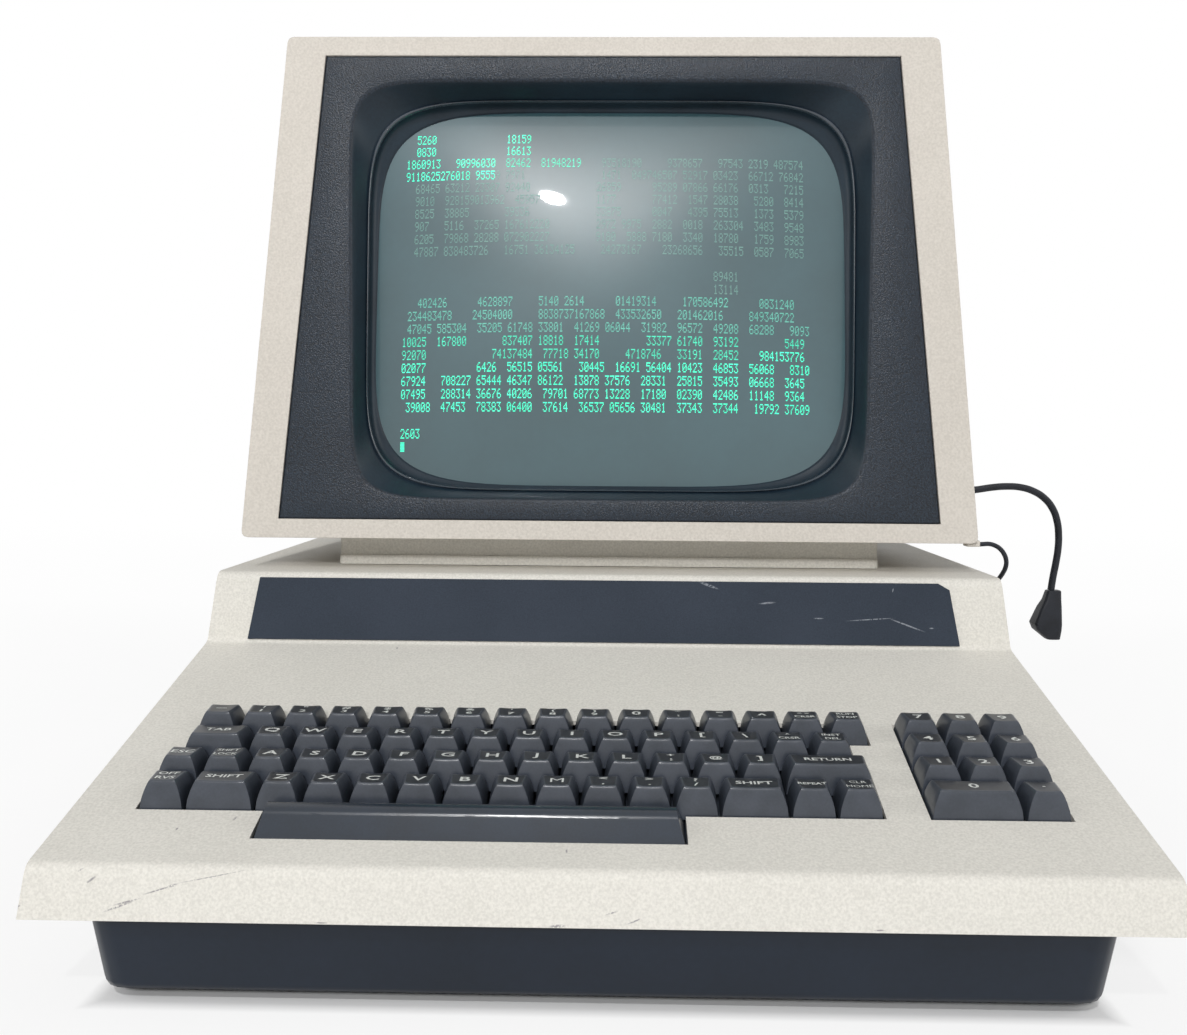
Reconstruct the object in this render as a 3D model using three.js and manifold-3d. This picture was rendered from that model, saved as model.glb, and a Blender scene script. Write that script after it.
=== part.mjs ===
// A desktop computer of the early 1980s: a dark base pan, a pale hinged case with a sloped
// keyboard, and a monitor fixed on top. Millimetres, +Z up, the keyboard faces -Y. The origin
// is on the table, in the middle of the footprint.
import * as THREE from 'three';
import { mergeVertices } from 'three/addons/utils/BufferGeometryUtils.js';
import Module from 'manifold-3d';

const wasm = await Module();
wasm.setup();

// Driving dimensions of the whole machine
const overallDepth = 488;
const rearOverhang = 14;
const footHeight = 4;
const panHeight = 33.8;
const keyPitch = 19.05;
const keypadStartShare = 16.714;
const fieldLeftShare = -0.75;
const fieldRightShare = keypadStartShare + 2.5;
const deckMargin = 30.143;
const panInset = 20.8;
const monitorInset = 21.3;
const monitorTaper = 16.2;
const lidWall = 2.4;
const sideDraft = THREE.MathUtils.degToRad(6.5);
const lipRise = 20;
const lipSetback = 3.6;
const deckSlope = THREE.MathUtils.degToRad(16);
const deckLength = 194.8;
const panelRise = 36.7;
const panelSetback = 5.6;
const rearSetback = 9.6;
const monitorGap = 17.3;
const monitorFaceHeight = 283;
const monitorFaceTilt = THREE.MathUtils.degToRad(9);
const monitorOverhang = 11.8;
const seatGap = 0.3;
const overrun = 6;

// Levels and edges worked out from them
const lidWidthAtFoot = (fieldRightShare - fieldLeftShare) * keyPitch + 2 * deckMargin;
const panWidthAtTop = lidWidthAtFoot - 2 * panInset;
const panHalf = panWidthAtTop / 2;
const monitorWidthAtFoot = lidWidthAtFoot - 2 * monitorInset;
const monitorWidthAtTop = monitorWidthAtFoot - 2 * monitorTaper;
const frontEdge = -overallDepth / 2;
const rearEdge = overallDepth / 2 - rearOverhang;
const lidFoot = footHeight + panHeight;
const deckFrontY = frontEdge + lipSetback;
const deckFrontZ = lidFoot + lipRise;
const panelFootY = deckFrontY + deckLength * Math.cos(deckSlope);
const panelFootZ = deckFrontZ + deckLength * Math.sin(deckSlope);
const topFrontY = panelFootY + panelSetback;
const topZ = panelFootZ + panelRise;
const lidHalfAt = (z) => lidWidthAtFoot / 2 - (z - lidFoot) * Math.tan(sideDraft);

const paint = (colour, roughness, metalness) =>
  new THREE.MeshStandardMaterial({ color: colour, roughness, metalness });
const materials = {
  cream: paint(0xd9d4c5, 0.62, 0),
  darkPlastic: paint(0x2b313d, 0.5, 0),
  panPaint: paint(0x2a303c, 0.42, 0.1),
  keyPlastic: paint(0x3a3f47, 0.45, 0),
  plate: paint(0x2f3643, 0.5, 0.1),
  steel: paint(0xa9abad, 0.35, 0.9),
  rubber: paint(0x16171a, 0.85, 0),
  board: paint(0x2f6a45, 0.55, 0),
  glass: paint(0x7d8f88, 0.12, 0),
  copper: paint(0x9a5a32, 0.4, 0.6),
  can: paint(0x2f5fa8, 0.4, 0.1),
};

// Solids: closed meshes with shared corners, joined and cut as manifolds
function signedVolume(positions, triangles) {
  const a = new THREE.Vector3();
  const b = new THREE.Vector3();
  const c = new THREE.Vector3();
  let sum = 0;
  for (let i = 0; i < triangles.length; i += 3) {
    a.fromArray(positions, triangles[i] * 3);
    b.fromArray(positions, triangles[i + 1] * 3);
    c.fromArray(positions, triangles[i + 2] * 3);
    sum += a.dot(b.cross(c));
  }
  return sum;
}

function solid(geometry) {
  const bare = geometry.clone();
  bare.deleteAttribute('normal');
  bare.deleteAttribute('uv');
  const merged = mergeVertices(bare);
  const vertProperties = new Float32Array(merged.attributes.position.array);
  const triVerts = new Uint32Array(merged.index.array);
  if (signedVolume(vertProperties, triVerts) < 0) triVerts.reverse();
  return new wasm.Manifold(new wasm.Mesh({ numProp: 3, vertProperties, triVerts }));
}

function geometryOf(body) {
  const { vertProperties, triVerts } = body.getMesh();
  const geometry = new THREE.BufferGeometry();
  geometry.setAttribute('position', new THREE.BufferAttribute(new Float32Array(vertProperties), 3));
  geometry.setIndex(new THREE.BufferAttribute(new Uint32Array(triVerts), 1));
  geometry.computeVertexNormals();
  return geometry;
}

const joined = (bodies) => wasm.Manifold.union(bodies);
const without = (body, cuts) => body.subtract(wasm.Manifold.union(cuts));

// A box given by its lowest and highest corners
function block(low, high) {
  const size = new THREE.Vector3().subVectors(high, low);
  const box = new THREE.BoxGeometry(size.x, size.y, size.z);
  const centre = new THREE.Vector3().addVectors(low, high).multiplyScalar(0.5);
  return solid(box.translate(centre.x, centre.y, centre.z));
}

const at = (x, y, z) => new THREE.Vector3(x, y, z);

// A round bar between two heights of its own axis, then turned and moved
function bar(radius, from, to, sides, matrix) {
  const cylinder = new THREE.CylinderGeometry(radius, radius, to - from, sides);
  cylinder.rotateX(Math.PI / 2).translate(0, 0, (from + to) / 2);
  return solid(cylinder.applyMatrix4(matrix));
}

const place = (x, y, z) => new THREE.Matrix4().makeTranslation(x, y, z);
const alongX = (x, y, z) => place(x, y, z).multiply(new THREE.Matrix4().makeRotationY(Math.PI / 2));
const alongY = (x, y, z) => place(x, y, z).multiply(new THREE.Matrix4().makeRotationX(-Math.PI / 2));

// A revolved piece: the profile holds [radius, height] pairs that start and end on the axis
function turned(profile, sides, matrix) {
  const points = profile.map(([radius, height]) => new THREE.Vector2(radius, height));
  const lathe = new THREE.LatheGeometry(points, sides).rotateX(Math.PI / 2);
  return solid(lathe.applyMatrix4(matrix));
}

// A loft through rings of equal point counts; each end is closed by a flat cap
function loft(rings) {
  const count = rings[0].length;
  const positions = rings.flat().flatMap((p) => [p.x, p.y, p.z]);
  const triangles = [];
  for (let r = 0; r + 1 < rings.length; r += 1) {
    for (let i = 0; i < count; i += 1) {
      const j = (i + 1) % count;
      const a = r * count + i;
      const b = r * count + j;
      triangles.push(a, b, a + count, b, b + count, a + count);
    }
  }
  const last = (rings.length - 1) * count;
  for (const [i, j, k] of capFaces(rings[0])) triangles.push(k, j, i);
  for (const [i, j, k] of capFaces(rings[rings.length - 1])) {
    triangles.push(last + i, last + j, last + k);
  }
  const geometry = new THREE.BufferGeometry();
  geometry.setAttribute('position', new THREE.Float32BufferAttribute(positions, 3));
  geometry.setIndex(triangles);
  return solid(geometry);
}

// Triangles of a flat ring, in the order in which the ring runs
function capFaces(ring) {
  const normal = new THREE.Vector3();
  ring.forEach((p, i) => {
    const q = ring[(i + 1) % ring.length];
    normal.x += (p.y - q.y) * (p.z + q.z);
    normal.y += (p.z - q.z) * (p.x + q.x);
    normal.z += (p.x - q.x) * (p.y + q.y);
  });
  normal.normalize();
  const side = Math.abs(normal.x) > Math.SQRT1_2 ? at(0, 1, 0) : at(1, 0, 0);
  const across = new THREE.Vector3().crossVectors(side, normal).normalize();
  const up = new THREE.Vector3().crossVectors(normal, across);
  const flat = ring.map((p) => new THREE.Vector2(p.dot(across), p.dot(up)));
  return THREE.ShapeUtils.triangulateShape(flat, []);
}

// An outline from corners [x, y, radius]: each corner is a smooth bend of that reach
function outline(corners, steps) {
  const shape = new THREE.Shape();
  corners.forEach(([x, y, radius], i) => {
    const [px, py] = corners[(i + corners.length - 1) % corners.length];
    const [nx, ny] = corners[(i + 1) % corners.length];
    const corner = new THREE.Vector2(x, y);
    const back = new THREE.Vector2(px - x, py - y).setLength(radius).add(corner);
    const ahead = new THREE.Vector2(nx - x, ny - y).setLength(radius).add(corner);
    if (i === 0) shape.moveTo(back.x, back.y);
    else shape.lineTo(back.x, back.y);
    if (radius > 0) shape.quadraticCurveTo(x, y, ahead.x, ahead.y);
  });
  shape.closePath();
  const points = shape.getPoints(steps);
  if (points[0].distanceTo(points[points.length - 1]) < seatGap / 100) points.pop();
  return points;
}

// A prism across the machine whose two ends lean in with height
function draftedPrism(points, halfAt) {
  const side = (sign) => points.map((p) => at(sign * halfAt(p.y), p.x, p.y));
  return loft([side(-1), side(1)]);
}

// A flat outline pushed along its normal, then set in place by a matrix
function extruded(points, from, to, matrix) {
  const settings = { depth: to - from, bevelEnabled: false };
  const geometry = new THREE.ExtrudeGeometry(new THREE.Shape(points), settings);
  return solid(geometry.translate(0, 0, from).applyMatrix4(matrix));
}

const rectangle = (left, right, near, far, radius) =>
  [[left, near, radius], [right, near, radius], [right, far, radius], [left, far, radius]];

const machine = new THREE.Group();
function piece(name, body, material, parent = machine) {
  const mesh = new THREE.Mesh(geometryOf(body), material);
  mesh.name = name;
  parent.add(mesh);
  return mesh;
}

// Hinge line of the case, shared by the brackets, the knuckles and the notches
const hinge = {
  inset: 5,
  rise: 5.7,
  sideInset: 49.5,
  lugWidth: 9,
  knuckleWidth: 11,
  sideGap: 0.6,
  radius: 4.2,
  pinRadius: 2,
  bore: 2.35,
  sides: 16,
};
hinge.y = rearEdge - hinge.inset;
hinge.z = lidFoot + hinge.rise;
hinge.spread = panHalf - hinge.sideInset;

// Stay rod: where it pivots on the pan and how long it is
const stay = {
  sideInset: 9.5,
  fromHinge: 165,
  drop: 3.8,
  length: 144.2,
  radius: 2.5,
  eyeRadius: 5,
  eyeWidth: 6,
  pinRadius: 2,
  bore: 2.4,
  earThickness: 3,
  earHalfDepth: 7,
  earRise: 6,
  sides: 10,
};
stay.x = stay.sideInset - panHalf;
stay.y = hinge.y - stay.fromHinge;
stay.z = lidFoot - stay.drop;

// Base pan: a drafted tray with a narrow rim outside that carries the case
const pan = {
  wall: 2,
  draft: THREE.MathUtils.degToRad(6.5),
  frontInset: 7.5,
  frontLean: 6,
  rearInset: 8,
  cornerRadius: 12,
  footRadius: 4,
  rimReach: 3.6,
  rimThickness: 1.5,
  steps: 4,
};
pan.floor = footHeight + pan.wall;
pan.rim = lidFoot - seatGap;
pan.frontAt = (z) => frontEdge + pan.frontInset + pan.frontLean * (pan.rim - z) / panHeight;
pan.rear = rearEdge - pan.rearInset;
pan.halfAt = (z) => panWidthAtTop / 2 - (pan.rim - z) * Math.tan(pan.draft);

function panRing(z, inset) {
  const half = pan.halfAt(z) - inset;
  const corners = rectangle(-half, half, pan.frontAt(z) + inset, pan.rear - inset,
    pan.cornerRadius - inset);
  return outline(corners, pan.steps).map((p) => at(p.x, p.y, z));
}

// Span of the logic board, which the connectors in the rear wall share
const board = {
  leftInset: 139.5,
  rightInset: 13.5,
  frontInset: 94,
  thickness: 1.6,
  level: 12,
  bossRadius: 4,
  bossInset: 9,
  bossSides: 8,
  rearGap: 3,
};
board.left = board.leftInset - panHalf;
board.right = panHalf - board.rightInset;
board.front = frontEdge + board.frontInset;
board.rear = pan.rear - pan.wall - board.rearGap;

// Openings in the pan's rear wall: three board connectors, the switch, the fuse and the gland
const rearPanel = {
  portFoot: 11,
  portHead: 27,
  portShares: [[0.3252, 0.252], [0.6179, 0.1951], [0.8943, 0.252]],
  portRadius: 2,
  switchInset: 87.5,
  fuseInset: 119.5,
  glandInset: 149.5,
  height: 20.5,
};
rearPanel.ports = rearPanel.portShares.map(([centreShare, widthShare]) => ({
  centre: board.left + (board.right - board.left) * centreShare,
  width: (board.right - board.left) * widthShare,
}));
rearPanel.switchX = rearPanel.switchInset - panHalf;
rearPanel.fuseX = rearPanel.fuseInset - panHalf;
rearPanel.glandX = rearPanel.glandInset - panHalf;

const rocker = {
  openingWidth: 14,
  openingHeight: 24,
  gap: 0.5,
  halfHeight: 10.5,
  proud: 5,
  depth: 4,
  sunk: 2,
  lean: THREE.MathUtils.degToRad(8),
  tailShare: 0.7,
  dipShare: 0.55,
  bendShare: 0.4,
};
const fuse = { capRadius: 7.5, capLength: 9, shankRadius: 5.6, shankLength: 22, holeRadius: 6, slot: 1.6 };
const gland = { flange: 9, body: 6.6, hole: 7, nose: 5, length: 16, inner: 10, bore: 3.4, rib: 0.8 };

function boardBosses() {
  const xs = [board.left + board.bossInset, (board.left + board.right) / 2, board.right - board.bossInset];
  const ys = [board.front + board.bossInset, (board.front + board.rear) / 2, board.rear - board.bossInset];
  const sink = pan.wall / 2;
  return xs.flatMap((x) => ys.map((y) =>
    bar(board.bossRadius, pan.floor - sink, board.level - seatGap, board.bossSides, place(x, y, 0))));
}

function buildPan() {
  const outer = loft([
    panRing(footHeight, pan.footRadius),
    panRing(footHeight + pan.footRadius / 3, pan.footRadius / 4),
    panRing(footHeight + pan.footRadius, 0),
    panRing(pan.rim, 0),
  ]);
  const inner = loft([
    panRing(pan.floor, pan.footRadius),
    panRing(pan.floor + pan.footRadius / 2, pan.wall),
    panRing(pan.rim + overrun, pan.wall),
  ]);
  const rimRear = pan.rear - pan.cornerRadius;
  const rimHalf = pan.halfAt(pan.rim) + pan.rimReach;
  const rimFront = pan.frontAt(pan.rim) - pan.rimReach;
  const rimCorners = [
    [-rimHalf, rimFront, pan.cornerRadius], [rimHalf, rimFront, pan.cornerRadius],
    [rimHalf, rimRear, 0], [-rimHalf, rimRear, 0],
  ];
  const rim = extruded(outline(rimCorners, pan.steps), pan.rim - pan.rimThickness, pan.rim, place(0, 0, 0));

  const wallY = pan.rear;
  const cuts = rearPanel.ports.map(({ centre, width }) => block(
    at(centre - width / 2, wallY - overrun, rearPanel.portFoot),
    at(centre + width / 2, wallY + overrun, rearPanel.portHead)));
  cuts.push(block(
    at(rearPanel.switchX - rocker.openingWidth / 2, wallY - overrun, rearPanel.height - rocker.openingHeight / 2),
    at(rearPanel.switchX + rocker.openingWidth / 2, wallY + overrun, rearPanel.height + rocker.openingHeight / 2)));
  cuts.push(bar(fuse.holeRadius, -overrun, overrun, hinge.sides, alongY(rearPanel.fuseX, wallY, rearPanel.height)));
  cuts.push(bar(gland.hole, -overrun, overrun, hinge.sides, alongY(rearPanel.glandX, wallY, rearPanel.height)));

  const ear = block(
    at(stay.x + stay.eyeWidth / 2 + seatGap, stay.y - stay.earHalfDepth, pan.floor - pan.wall / 2),
    at(stay.x + stay.eyeWidth / 2 + seatGap + stay.earThickness, stay.y + stay.earHalfDepth, stay.z + stay.earRise));
  const pin = bar(stay.pinRadius, -stay.eyeWidth / 2 - seatGap, stay.eyeWidth / 2 + stay.earThickness,
    stay.sides, alongX(stay.x, stay.y, stay.z));
  const shell = without(joined([outer, rim]), [inner]);
  return joined([without(shell, cuts), ear, pin, ...boardBosses()]);
}
piece('base_pan', buildPan(), materials.panPaint);

// Rubber feet near the pan's corners
const foot = { radius: 11, neck: 8.5, inset: 34, sides: 20 };
function buildFeet() {
  const x = pan.halfAt(footHeight) - foot.inset;
  const places = {
    foot_front_left: [-x, pan.frontAt(footHeight) + foot.inset],
    foot_front_right: [x, pan.frontAt(footHeight) + foot.inset],
    foot_rear_left: [-x, pan.rear - foot.inset],
    foot_rear_right: [x, pan.rear - foot.inset],
  };
  const head = footHeight - seatGap;
  const profile = [[0, 0], [foot.neck, 0], [foot.radius, head / 2], [foot.radius, head], [0, head]];
  for (const [name, [footX, footY]] of Object.entries(places)) {
    piece(name, turned(profile, foot.sides, place(footX, footY, 0)), materials.rubber);
  }
}
buildFeet();

// Logic board: rows of chips, sockets and the three edge connectors at the rear ports
const chip = {
  smallWidth: 8, smallLength: 20, height: 3.5, bigWidth: 15, bigLength: 50,
  columns: 8, rows: 5, bigCount: 5, margin: 22,
  connectorDepth: 9, connectorHeight: 9, smallFieldShare: 0.6, bigRowShare: 0.7,
};
function buildBoard() {
  const top = board.level + board.thickness;
  const sink = board.thickness / 2;
  const parts = [block(at(board.left, board.front, board.level), at(board.right, board.rear, top))];
  const spanX = board.right - board.left - 2 * chip.margin;
  const spanY = board.rear - board.front - 2 * chip.margin;
  for (let column = 0; column < chip.columns; column += 1) {
    const x = board.left + chip.margin + spanX * column / (chip.columns - 1);
    for (let row = 0; row < chip.rows; row += 1) {
      const y = board.front + chip.margin + spanY * chip.smallFieldShare * row / chip.rows;
      parts.push(block(at(x - chip.smallWidth / 2, y - chip.smallLength / 2, top - sink),
        at(x + chip.smallWidth / 2, y + chip.smallLength / 2, top + chip.height)));
    }
  }
  for (let i = 0; i < chip.bigCount; i += 1) {
    const x = board.left + chip.margin + chip.bigWidth + (spanX - 2 * chip.bigWidth) * i / (chip.bigCount - 1);
    const y = board.front + chip.margin + spanY * chip.bigRowShare;
    parts.push(block(at(x - chip.bigWidth / 2, y - chip.bigLength / 2, top - sink),
      at(x + chip.bigWidth / 2, y + chip.bigLength / 2, top + chip.height)));
  }
  for (const { centre, width } of rearPanel.ports) {
    const half = width / 2 - rearPanel.portRadius;
    parts.push(block(at(centre - half, board.rear - chip.connectorDepth, top - sink),
      at(centre + half, board.rear, top + chip.connectorHeight)));
  }
  return joined(parts);
}
piece('main_board', buildBoard(), materials.board);

// Power transformer and its smoothing capacitor, behind on the left of the pan
const transformer = {
  sideInset: 74.5, rearInset: 72, coreWidth: 92, coreDepth: 46, coreHeight: 76, coilWidth: 58, coilDepth: 74,
  coilHeight: 50, flangeReach: 14, flangeThickness: 3, windowRise: 13, bolt: 4, boltSides: 8,
};
transformer.x = transformer.sideInset - panHalf;
transformer.y = pan.rear - transformer.rearInset;
function buildTransformer() {
  const t = transformer;
  const base = pan.floor + seatGap;
  const core = block(at(t.x - t.coreWidth / 2, t.y - t.coreDepth / 2, base),
    at(t.x + t.coreWidth / 2, t.y + t.coreDepth / 2, base + t.coreHeight));
  const coilCorners = rectangle(-t.coilWidth / 2, t.coilWidth / 2, -t.coilDepth / 2, t.coilDepth / 2,
    t.flangeReach);
  const coil = extruded(outline(coilCorners, pan.steps), base + t.windowRise,
    base + t.windowRise + t.coilHeight, place(t.x, t.y, 0));
  const flange = block(
    at(t.x - t.coreWidth / 2 - t.flangeReach, t.y - t.coreDepth / 3, base),
    at(t.x + t.coreWidth / 2 + t.flangeReach, t.y + t.coreDepth / 3, base + t.flangeThickness));
  const bolts = [-1, 1].map((side) => bar(t.bolt, base + t.flangeThickness / 2, base + t.flangeThickness * 2,
    t.boltSides, place(t.x + side * (t.coreWidth / 2 + t.flangeReach / 2), t.y, 0)));
  return joined([core, coil, flange, ...bolts]);
}
piece('transformer', buildTransformer(), materials.steel);

const capacitor = { shift: 5, ahead: 88, radius: 18, height: 78, rim: 1.5, groove: 6, clip: 3, sides: 24 };
capacitor.x = transformer.x + capacitor.shift;
capacitor.y = transformer.y - capacitor.ahead;
function buildCapacitor() {
  const c = capacitor;
  const base = pan.floor + seatGap;
  const profile = [[0, 0], [c.radius + c.clip, 0], [c.radius + c.clip, c.groove], [c.radius, c.groove],
    [c.radius, c.height - c.groove], [c.radius - c.rim, c.height - c.groove + c.rim],
    [c.radius, c.height - c.groove + 2 * c.rim], [c.radius, c.height - c.rim],
    [c.radius - c.rim, c.height], [0, c.height]];
  return turned(profile, c.sides, place(c.x, c.y, base));
}
piece('filter_capacitor', buildCapacitor(), materials.can);

// Power switch: a rocker that tips about a line across the rear wall
function buildRocker() {
  const wallY = pan.rear - pan.wall - rocker.sunk;
  const corners = [
    [-rocker.depth, -rocker.halfHeight * rocker.tailShare, 0], [rocker.sunk + rocker.proud, -rocker.halfHeight, 0],
    [rocker.sunk + rocker.proud * rocker.dipShare, 0, rocker.halfHeight * rocker.bendShare],
    [rocker.sunk + rocker.proud, rocker.halfHeight, 0], [-rocker.depth, rocker.halfHeight * rocker.tailShare, 0],
  ];
  const half = rocker.openingWidth / 2 - rocker.gap;
  const turn = new THREE.Matrix4().set(0, 0, 1, 0, 1, 0, 0, 0, 0, 1, 0, 0, 0, 0, 0, 1);
  const body = extruded(outline(corners, pan.steps), -half, half, turn);
  const tipped = body.rotate([THREE.MathUtils.radToDeg(rocker.lean), 0, 0]);
  return tipped.translate([rearPanel.switchX, wallY, rearPanel.height]);
}
piece('power_rocker', buildRocker(), materials.rubber);

// Fuse holder cap with its screwdriver slot
function buildFuse() {
  const face = pan.rear + seatGap;
  const profile = [[0, -fuse.shankLength], [fuse.shankRadius, -fuse.shankLength], [fuse.shankRadius, 0],
    [fuse.capRadius, 0], [fuse.capRadius, fuse.capLength - fuse.slot],
    [fuse.capRadius - fuse.slot, fuse.capLength], [0, fuse.capLength]];
  const cap = turned(profile, hinge.sides, alongY(rearPanel.fuseX, face, rearPanel.height));
  const slot = block(
    at(rearPanel.fuseX - fuse.capRadius - overrun, face + fuse.capLength - fuse.slot, rearPanel.height - fuse.slot / 2),
    at(rearPanel.fuseX + fuse.capRadius + overrun, face + fuse.capLength + overrun, rearPanel.height + fuse.slot / 2));
  return without(cap, [slot]);
}
piece('fuse_cap', buildFuse(), materials.rubber);

// Gland for the supply lead: a ribbed bush with a blind bore
function buildGland() {
  const g = gland;
  const face = pan.rear + seatGap;
  const profile = [[0, -g.inner], [g.body, -g.inner], [g.body, 0], [g.flange, 0], [g.flange, g.rib * 2],
    [g.body, g.rib * 3], [g.body - g.rib, g.length / 2], [g.nose, g.length], [g.bore, g.length],
    [g.bore, g.rib], [0, g.rib]];
  return turned(profile, hinge.sides, alongY(rearPanel.glandX, face, rearPanel.height));
}
piece('mains_gland', buildGland(), materials.rubber);

// Hinge brackets: a strap on the pan's rear wall, a lug at the hinge line and its pin
const bracket = { strapThickness: 2.5, portGap: 2, headRoom: 1 };
function buildBracket(x) {
  const inner = pan.rear - pan.wall - seatGap;
  const half = hinge.lugWidth / 2;
  const head = pan.rim + bracket.headRoom;
  const strap = block(at(x - half, inner - bracket.strapThickness, rearPanel.portHead + bracket.portGap),
    at(x + half, inner, hinge.z + hinge.radius));
  const arm = block(at(x - half, inner - bracket.strapThickness, head), at(x + half, hinge.y, hinge.z + hinge.radius));
  const lug = bar(hinge.radius, -half, half, hinge.sides, alongX(x, hinge.y, hinge.z));
  const reach = half + hinge.sideGap + hinge.knuckleWidth;
  const pin = bar(hinge.pinRadius, -reach, reach, hinge.sides, alongX(x, hinge.y, hinge.z));
  return joined([strap, arm, lug, pin]);
}
piece('hinge_bracket_left', buildBracket(-hinge.spread), materials.steel);
piece('hinge_bracket_right', buildBracket(hinge.spread), materials.steel);

// Stay rod that follows the case up and bears under its keeper
function buildStay() {
  const eye = bar(stay.eyeRadius, -stay.eyeWidth / 2, stay.eyeWidth / 2, hinge.sides, alongX(0, 0, 0));
  const rod = bar(stay.radius, -stay.length, 0, stay.sides, alongY(0, 0, 0));
  const tip = bar(stay.radius + seatGap, -stay.length - stay.radius, -stay.length + stay.radius,
    stay.sides, alongY(0, 0, 0));
  const bore = bar(stay.bore, -stay.eyeWidth, stay.eyeWidth, hinge.sides, alongX(0, 0, 0));
  return without(joined([eye, rod, tip]), [bore]).translate([stay.x, stay.y, stay.z]);
}
piece('prop_rod', buildStay(), materials.steel);

// Keyboard layout in key pitches. Row 0 is the front letter row, row 3 holds the digits and
// the space bar lies in row -1. Each entry is [centre, width, name]; a key without a name of
// its own is fixed to the plate.
const letters = (word, start) => [...word].map((letter, i) => [start + i, 1, `key_${letter}`]);
const plainKeys = (count, start) => Array.from({ length: count }, (_, i) => [start + i, 1, null]);
const layoutShares = {
  '-1': [[6.5, 9, 'key_space']],
  0: [[-0.25, 1, null], [1, 1.5, 'key_shift_left'], ...letters('zxcvbnm', 2.25), ...plainKeys(3, 9.25),
    [12.5, 1.5, 'key_shift_right'], ...plainKeys(2, 13.75)],
  1: [[-0.25, 1, null], [0.75, 1, 'key_shift_lock'], ...letters('asdfghjkl', 1.75), ...plainKeys(3, 10.75),
    [14.25, 2, 'key_return']],
  2: [[0.25, 1.5, null], ...letters('qwertyuiop', 1.5), ...plainKeys(4, 11.5)],
  3: plainKeys(16, 0),
};
const keypadShares = {
  0: [[keypadStartShare + 0.5, 2, null], [keypadStartShare + 2, 1, null]],
  1: plainKeys(3, keypadStartShare),
  2: plainKeys(3, keypadStartShare),
  3: plainKeys(3, keypadStartShare),
};

const key = {
  gap: 0.95,
  foot: -2,
  height: 12,
  frontReach: 3.6,
  topDepth: 12,
  topFall: 2.6,
  sideTaper: 3.1,
  dish: 0.7,
  wall: 1.4,
  travel: 4,
  stem: 4,
  stemGap: 0.4,
  housing: 11.4,
  housingHeight: 4.2,
  firstRow: 47.7,
  opening: 0.75,
  plateDrop: 5.5,
  plateThickness: 1.6,
  stemTail: 3,
  stabiliserShare: 3.2,
};
key.plateTop = key.foot - key.plateDrop;
key.x0 = -(fieldLeftShare + fieldRightShare) / 2 * keyPitch;
key.xAt = (share) => key.x0 + share * keyPitch;
key.vAt = (row) => key.firstRow + row * keyPitch;

const deckMatrix = place(0, deckFrontY, deckFrontZ).multiply(new THREE.Matrix4().makeRotationX(deckSlope));
const onDeck = (body) => {
  const turnedBody = body.rotate([THREE.MathUtils.radToDeg(deckSlope), 0, 0]);
  return turnedBody.translate([0, deckFrontY, deckFrontZ]);
};

// A cap of a given width: drafted sides, a long front, a dished top that falls to the rear, and a
// hollow underside
function capRing(width, depth, offset, level, fall = 0) {
  const half = width / 2;
  const near = offset - depth / 2;
  const far = offset + depth / 2;
  const high = level + fall / 2;
  const low = level - fall / 2;
  return [at(-half, near, high), at(half, near, high), at(half, far, low), at(-half, far, low)];
}
function capBody(widthShare, hollow) {
  const base = widthShare * keyPitch - key.gap;
  const depth = keyPitch - key.gap;
  const top = base - 2 * key.sideTaper;
  const crown = key.foot + key.height;
  const topCentre = -key.frontReach + key.topDepth / 2;
  const middle = crown - key.topFall / 2;
  const outer = loft([capRing(base, depth, 0, key.foot), capRing(top, key.topDepth, topCentre, middle, key.topFall)]);
  const dishRadius = (top * top / 4 + key.dish * key.dish) / (2 * key.dish);
  const dishSides = Math.ceil(Math.PI * 2 * dishRadius / (top / 5));
  const dish = bar(dishRadius, -keyPitch, keyPitch, dishSides, alongY(0, 0, dishRadius - key.dish));
  const fall = THREE.MathUtils.radToDeg(Math.atan2(key.topFall, key.topDepth));
  const levelled = outer.translate([0, -topCentre, -middle]).rotate([fall, 0, 0]);
  const cap = without(levelled, [dish]).rotate([-fall, 0, 0]).translate([0, topCentre, middle]);
  if (!hollow) return cap;
  const twice = 2 * key.wall;
  const inner = loft([
    capRing(base - twice, depth - twice, 0, key.foot - overrun),
    capRing(base - twice, depth - twice, 0, key.foot),
    capRing(top - twice, key.topDepth - twice, topCentre, middle - twice,
      key.topFall * (1 - twice / key.topDepth)),
  ]);
  return without(cap, [inner]);
}

function postBody(side, from, to, x = 0) {
  return block(at(x - side / 2, -side / 2, from), at(x + side / 2, side / 2, to));
}
const postTail = key.plateTop - key.plateThickness - key.travel - key.stemTail;
const postHead = key.foot + key.height - key.topFall;
const keyCache = new Map();
function movingKey(widthShare) {
  if (!keyCache.has(widthShare)) {
    keyCache.set(widthShare, joined([capBody(widthShare, true), postBody(key.stem, postTail, postHead)]));
  }
  return keyCache.get(widthShare);
}

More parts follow.
